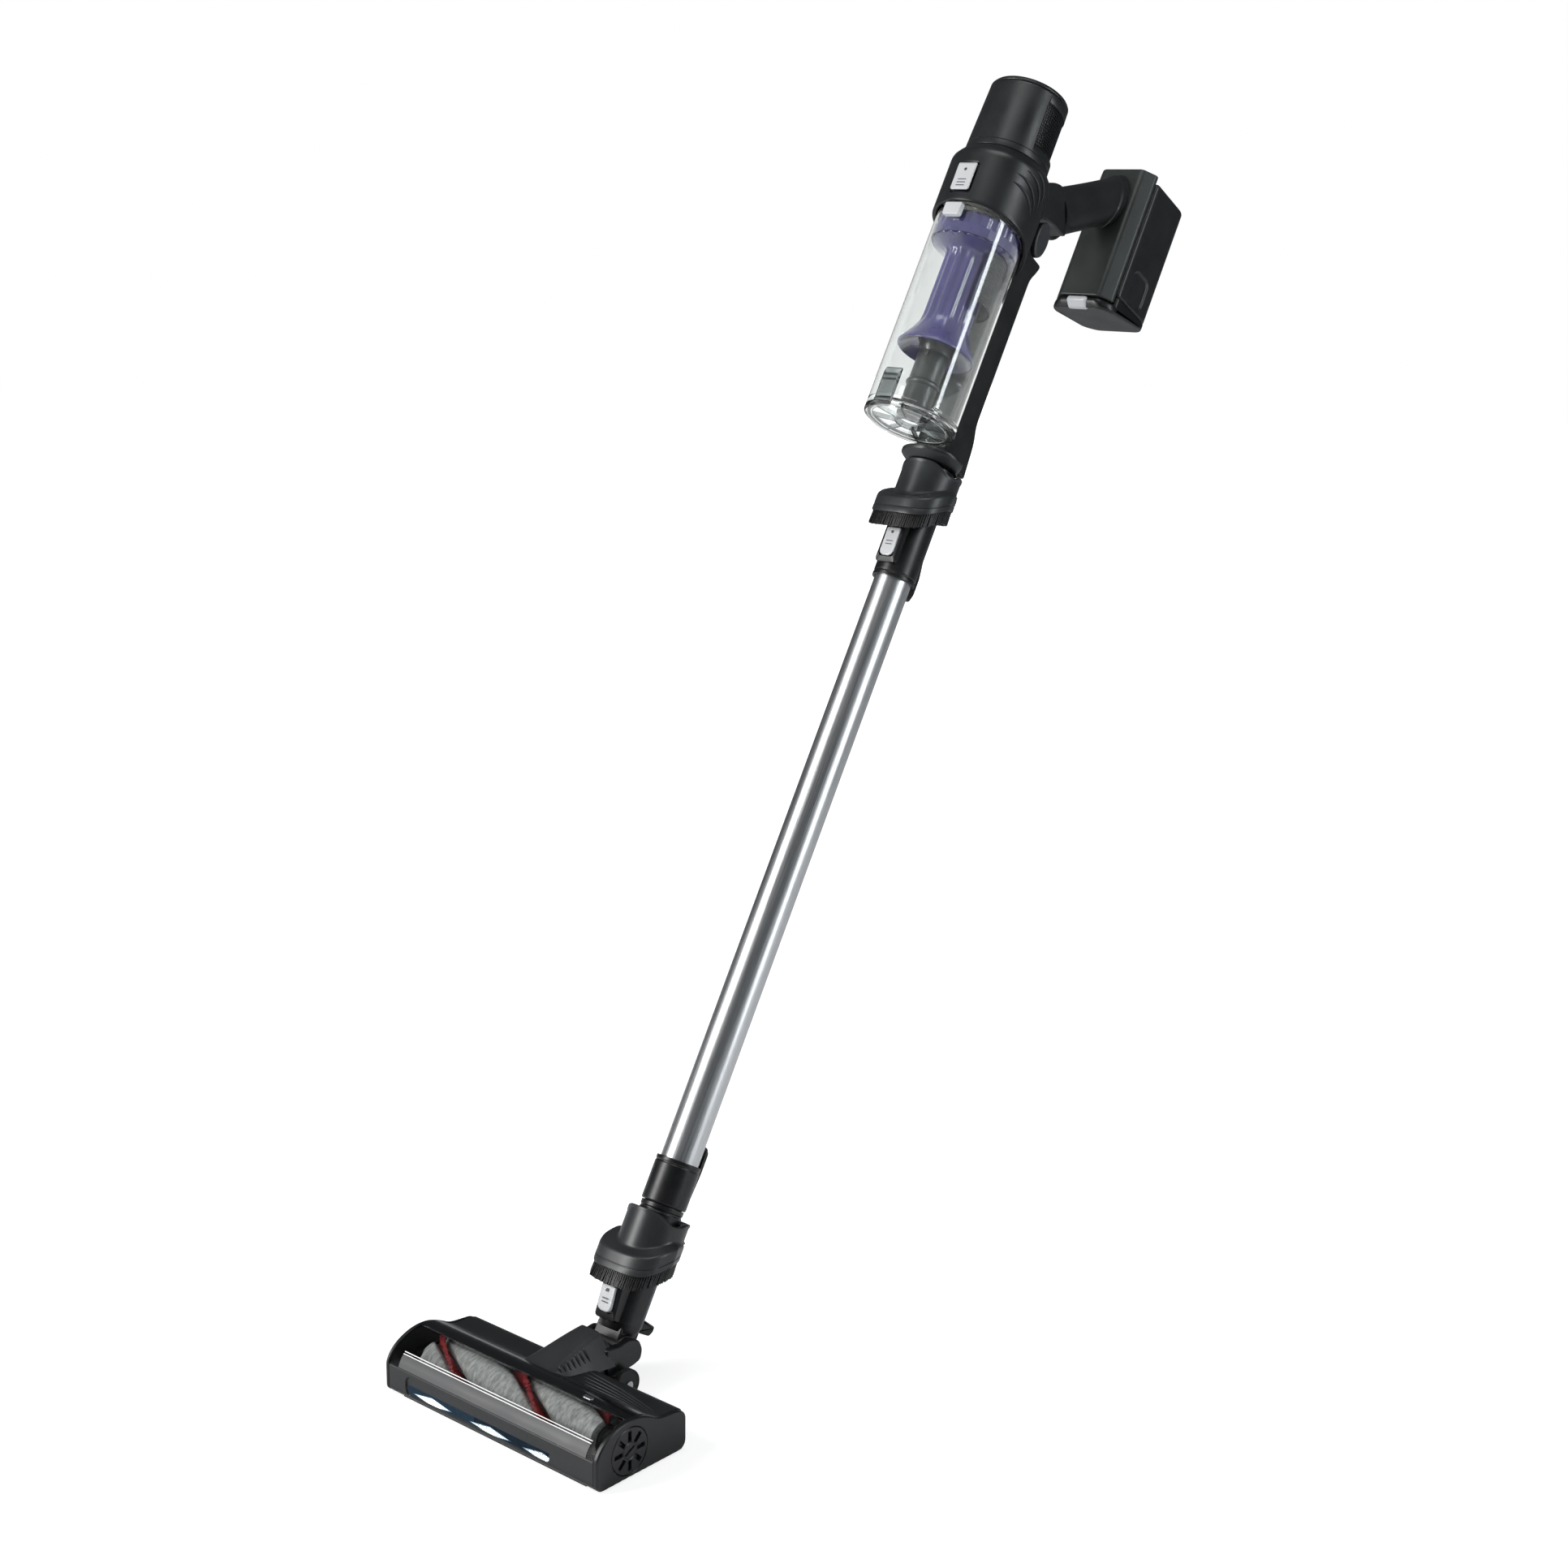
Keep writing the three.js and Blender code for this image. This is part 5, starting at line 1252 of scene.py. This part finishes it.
# ============================================================ handset: body ring and its buttons
# A thick charcoal ring holds the bin's top. Curved fins are moulded on both sides, and a white
# button at the front lets the bin go.

POCKET_AT, POCKET_HALF, POCKET_RISE, POCKET_CORNER, POCKET_DEPTH = 1056, 11, 15, 2.5, 3.1


def body_ring():
    """Up the ring's outside from the slanted joint, over the shoulder to the motor, and down the
    room for the filter. At the front a rounded pocket for the button goes in by four times the
    distance inside its edge, to its depth."""
    front = np.linspace(-0.34, 0.34, 101) - math.pi / 2
    rest = np.linspace(-math.pi / 2 + 0.36, 3 * math.pi / 2 - 0.36, 130)
    a = np.concatenate([front, rest])
    q = BIN_BACK + RING_R * np.sin(a)
    joint_at = eased(q, JOINT_EDGE)
    share = np.linspace(0, 1, 50)[:, None]
    wall = joint_at + 3.2 + share * (1081 - joint_at - 3.2)
    rows = [(43.6, joint_at + 0.6), (46, joint_at), (46.7, joint_at + 0.3), (RING_R, joint_at + 1.2),
            *[(RING_R, level) for level in wall], (46.9, 1083.4), (46.3, 1085.6), (44.6, 1088.3),
            (42.6, 1091), (41.2, 1092.9), (40.4, 1093.8), (39.6, 1094), (30.4, 1094), (30.2, 1079),
            (43.6, 1078)]
    radius = np.stack([np.full_like(a, r) for r, _ in rows])
    level = np.stack([s + 0 * a for _, s in rows])
    inside = inside_window(radius * np.cos(a), level - POCKET_AT, POCKET_HALF, POCKET_RISE, POCKET_CORNER)
    inside = np.where((np.sin(a) < 0) & (radius > 46.5), inside, -1)
    return about_wand(radius - np.clip(inside * 4, 0, POCKET_DEPTH), a, level, BIN_BACK)


def side_fin(side, start, pull, end, width, height):
    """A crescent moulded on the ring. Its line is a quadratic curve in (angle, along), and its
    section is a low round back that tapers to nothing at both ends."""
    t = np.linspace(0, 1, 40)[:, None]
    way = (1 - t) ** 2 * np.array(start) + 2 * t * (1 - t) * np.array(pull) + t ** 2 * np.array(end)
    grow = np.sin(math.pi * np.clip(t, 0.02, 0.98)) ** 0.55
    chord = np.gradient(way * (RING_R * math.pi / 180, 1), axis=0)
    chord /= np.linalg.norm(chord, axis=1)[:, None]
    c = full_turn(12)
    off = width / 2 * grow * np.cos(c)
    angle = np.radians(way[:, :1]) - off * chord[:, 1:] / RING_R
    s = way[:, 1:] + off * chord[:, :1]
    r = RING_R - 0.1 + height * grow * np.sin(c)
    return about_wand(r, angle, s, BIN_BACK) * (side, 1, 1)


FINS = [((-34, 1072), (-8, 1071), (4, 1050)), ((-35, 1063), (-12, 1062), (1, 1046)),
        ((-24, 1079), (2, 1078), (9, 1056)), ((-12, 1084), (9, 1081), (14, 1064))]
piece("handset_ring", on_wand, [
    (body_ring(), "loop"),
    *[(side_fin(side, *fin, 3.2, 1.8), "lidded") for fin in FINS for side in (1, -1)],
], "handset", [charcoal], ["body_ring"], crease=40)
bin_face = [(1030, -103.2), (1080, -103.2)]
piece("ring_button", on_wand, [
    (button(10, 1042.7, 1069.3, bin_face, 1.2, 2.6, 1.0), "lidded"),
    *[(m, "lidded", 1) for m in marks_on(bin_face, 1062.5, (1052.5, 1049.5, 1046.5), 4.6)],
], "bin_button", [white_gloss, print_grey], ["bin_release_button"])

# ============================================================ handset: motor pod
# A tapered barrel with a domed cap. Exhaust air leaves through a perforated black panel that
# wraps from each side to the back, set in a window in the barrel's wall.

MOTOR_LOW, MOTOR_HIGH, MOTOR_R_LOW, MOTOR_R_HIGH = 1094.7, 1161, 39.3, 37.0
VENT_LOW, VENT_HIGH, VENT_FROM, VENT_TO = 1108, 1152, -21, 82


def motor_barrel():
    """A cone frustum as a sheet, and which of its faces are kept: those outside both windows. A
    seam groove runs round it near the foot."""
    windows = np.radians([VENT_FROM, VENT_TO, 180 - VENT_TO, 180 - VENT_FROM])
    a = np.unique(np.concatenate([np.linspace(math.radians(-160), math.radians(200), 145)[:-1], windows]))
    steps = [MOTOR_LOW, 1095.4, 1100, 1100.4, 1101.2, 1101.6, 1159.4, 1160.4, MOTOR_HIGH,
             VENT_LOW, VENT_HIGH]
    s = np.unique(np.concatenate([steps, np.linspace(1102, 1158, 8)]))[:, None]
    r = MOTOR_R_LOW + (MOTOR_R_HIGH - MOTOR_R_LOW) * (s - MOTOR_LOW) / (MOTOR_HIGH - MOTOR_LOW)
    groove, end_step = 0.6, 0.4
    r = r - groove * ((s > 1100.2) & (s < 1101.4)) - end_step * ((s < 1095) | (s > 1160.8))
    grid = about_wand(r, a, s, BIN_BACK)
    mid_a = np.degrees((a + np.append(a[1:], a[0] + 2 * math.pi)) / 2)[None]
    mid_s = (s[:-1] + s[1:]) / 2
    fold = np.where(mid_a > 90, 180 - mid_a, mid_a)
    open_here = (fold > VENT_FROM) & (fold < VENT_TO) & (mid_s > VENT_LOW) & (mid_s < VENT_HIGH)
    return grid, ~open_here


barrel, kept = motor_barrel()
piece("motor_barrel", on_wand, [(barrel, "tube", 0, kept)], "handset", [charcoal],
      ["motor_housing"], crease=35, wall=2.4)
vent_black = moulded("vent_black", (0.006, 0.006, 0.0065), 0.35)
for name, low_angle, high_angle in (("right", VENT_FROM, VENT_TO),
                                    ("left", 180 - VENT_TO, 180 - VENT_FROM)):
    skin = screen_holes(36.6, VENT_LOW + 0.4, VENT_HIGH - 0.4, low_angle + 0.6, high_angle - 0.6,
                        2.6, 2.6, 1.2)
    piece(f"exhaust_panel_{name}", on_wand, [(skin, "tube")], "handset", [vent_black],
          [f"vent_grille_{name}"], crease=60)
piece("barrel_lid", on_wand, [
    (turned([(0.01, 1161.4), (36.4, 1161.4), (37, 1162), (37, 1163.4), (35.4, 1165.6), (33, 1166),
             (31.6, 1165.4), (30.6, 1165.4), (29.6, 1166), (0.01, 1166)], BIN_BACK, 96, 0.5), "loop"),
], "handset", [charcoal], ["motor_cap"])


def pleated_fleece():
    """White filter fleece: bands round the filter shade it as the folds of its pleats."""
    material, tree, shader = new_material("filter_fleece")
    place, turn, wave = new_nodes(tree, "TexCoord", "Mapping", "TexWave")
    turn.inputs["Rotation"].default_value = (WAND_LEAN, 0, 0)
    wave.inputs["Scale"].default_value = 120
    wave.inputs["Distortion"].default_value = 1.5
    tree.links.new(place.outputs["Object"], turn.inputs["Vector"])
    tree.links.new(turn.outputs["Vector"], wave.inputs["Vector"])
    tree.links.new(blended(tree, wave.outputs["Fac"], (0.5, 0.5, 0.46), (0.72, 0.72, 0.68)),
                   shader.inputs["Base Color"])
    shader.inputs["Roughness"].default_value = 0.85
    bumped(tree, shader, wave.outputs["Fac"], 0.5, 0.0006)
    return material


fleece = pleated_fleece()
dress("pre_motor_filter", fleece)
dress("exhaust_filter", fleece)
cast_alloy = moulded("cast_alloy", (0.35, 0.35, 0.36), 0.4, grain=700, Metallic=1.0)
dress("motor_can", cast_alloy)
dress("impeller", cast_alloy)

# ============================================================ handset: handle, dock and battery
# An oval grip runs from the spine up to a flat dock. The battery pack hangs on rails behind the
# dock and is held by a silver latch at its foot.

DOCK_FRONT = 112


def grip():
    """Ovals along the handle's line, a little slimmer in the middle and flared at the root, each
    carried on to the plane of the dock at its end."""
    u = np.linspace(0, 1, 70)[:, None]
    a = full_turn(72)[None]
    waist, flare, flare_share = 0.035, 0.10, 0.16
    collar_at, collar_share, collar_height = 0.91, 0.022, 0.9
    slim = 1 - waist * np.sin(math.pi * u) + flare * np.clip(1 - u / flare_share, 0, 1) ** 2
    collar = collar_height * (np.abs(u - collar_at) < collar_share)
    half, high = 18 * slim - 0.6 + collar, 23 * slim - 0.6 + collar
    up = high * np.sin(a)
    reach = (DOCK_FRONT - 0.3 - HANDLE_FROM[0] - up * HANDLE_OVER[0]) / HANDLE_RUN[0]
    along = u * reach
    q = HANDLE_FROM[0] + along * HANDLE_RUN[0] + up * HANDLE_OVER[0]
    s = HANDLE_FROM[1] + along * HANDLE_RUN[1] + up * HANDLE_OVER[1]
    return as_points(half * np.cos(a), q, s)


piece("oval_grip", on_wand, [(grip(), "lidded")], "handset", [charcoal],
      ["handle_grip"])

DOCK_LOW, DOCK_HIGH, DOCK_REAR = 1058.4, 1194, 127.6
dock = rounded([(-22, DOCK_FRONT), (22, DOCK_FRONT), (32, 124), (32, DOCK_REAR), (-32, DOCK_REAR),
                (-32, 124)],
               [3.5, 3.5, 1.75, 1.75, 1.75, 1.75], 6)
dock_satin = moulded("dock_satin", (0.020, 0.023, 0.022), 0.36)
piece("handle_dock", on_wand, [(slab(dock, DOCK_LOW, DOCK_HIGH, 1.3, "xy", steps=5), "lidded")],
      "handset", [dock_satin], ["battery_dock"], crease=50)
dress("control_board", circuit)

PACK_FRONT, PACK_REAR, PACK_HALF = 128, 193, 34
HOLLOW_BACK, HOLLOW_AT, HOLLOW_HALF, HOLLOW_RISE, HOLLOW_CORNER, HOLLOW_DEPTH = 154, 1086, 15, 17, 9, 1.6


def pack_sides():
    """The pack's walls with a grip hollow on each side: points of the flat sides inside a round-
    ended shape sink by the distance inside its edge, to the hollow's depth."""
    outline = rounded([(-PACK_HALF, PACK_FRONT), (PACK_HALF, PACK_FRONT), (PACK_HALF, PACK_REAR - 12),
                       (24, PACK_REAR), (-24, PACK_REAR), (-PACK_HALF, PACK_REAR - 12)],
                      [5, 5, 6, 6, 6, 6], 6)
    fine = np.linspace(PACK_FRONT + 5.6, PACK_REAR - 18.6, 64)
    outline = np.concatenate([outline[:14], as_points(PACK_HALF, fine), outline[14:],
                              as_points(-PACK_HALF, fine[::-1])])
    grid = slab(outline, 1066, 1188, 3.2, "xy", steps=5, between=np.linspace(1071, 1183, 90))
    x, q, s = grid[..., 0], grid[..., 1], grid[..., 2]
    inside = inside_window(q - HOLLOW_BACK, s - HOLLOW_AT, HOLLOW_HALF, HOLLOW_RISE, HOLLOW_CORNER)
    inside = np.where(np.abs(x) > PACK_HALF - 0.05, inside, -1)
    grid[..., 0] = x - np.sign(x) * np.clip(inside, 0, HOLLOW_DEPTH)
    return grid


def pack_foot():
    """The foot under the dock and the pack, and its upper part behind the dock only: each a plan
    carried up between two heights that are read off the distance back."""
    made = []
    rear = [(PACK_HALF, PACK_REAR - 12), (24, PACK_REAR), (-24, PACK_REAR), (-PACK_HALF, PACK_REAR - 12)]
    front = [(-23, 113.2), (23, 113.2), (PACK_HALF, 125)], [(-PACK_HALF, 125)]
    behind = [(-PACK_HALF, 128.8), (PACK_HALF, 128.8)], []
    for (start, end), edge, rise, tops in ((front, 3.6, 0, (1057.4, 1058.5, 1064.6)),
                                           (behind, 0.4, 1.6, (1065.4, 1065.4, 1065.4))):
        plan = start + rear + end
        grid = slab(rounded(plan, [min(6, 10 * edge)] * len(plan), 6), 0, 10, edge, "xy", steps=6)
        low = rise + np.interp(grid[..., 1], [112, 118, 132, 193], [1052.4, 1047.4, 1049, 1062.1])
        high = np.interp(grid[..., 1], [128, 150, 193], tops)
        grid[..., 2] = low + (high - low) * grid[..., 2] / 10
        made.append(grid)
    return made


pack_black = moulded("pack_black", (0.013, 0.0135, 0.0145), 0.34)
piece("pack_case", on_wand, [(pack_sides(), "lidded")], "battery", [pack_black],
      ["battery_case"], crease=50)
piece("pack_foot_plate", on_wand, [(grid, "lidded") for grid in pack_foot()],
      "battery", [black_satin], ["battery_foot"])
latch_silver = moulded("latch_silver", (0.5, 0.51, 0.52), 0.25, grain=400, depth=0.05, lighter=1.15)
piece("pack_latch", on_wand, [
    (across_bar([(110.6, 1055.6), (110.6, 1052), (117, 1047.2), (121.4, 1047.2), (121.4, 1057.2),
                 (112.4, 1057.2)], -11, 11, 1.6, 2.4), "lidded"),
], "battery_latch", [latch_silver], ["battery_latch"])
dress("battery_cells", moulded("cell_wrap", (0.05, 0.16, 0.42), 0.3, grain=500))
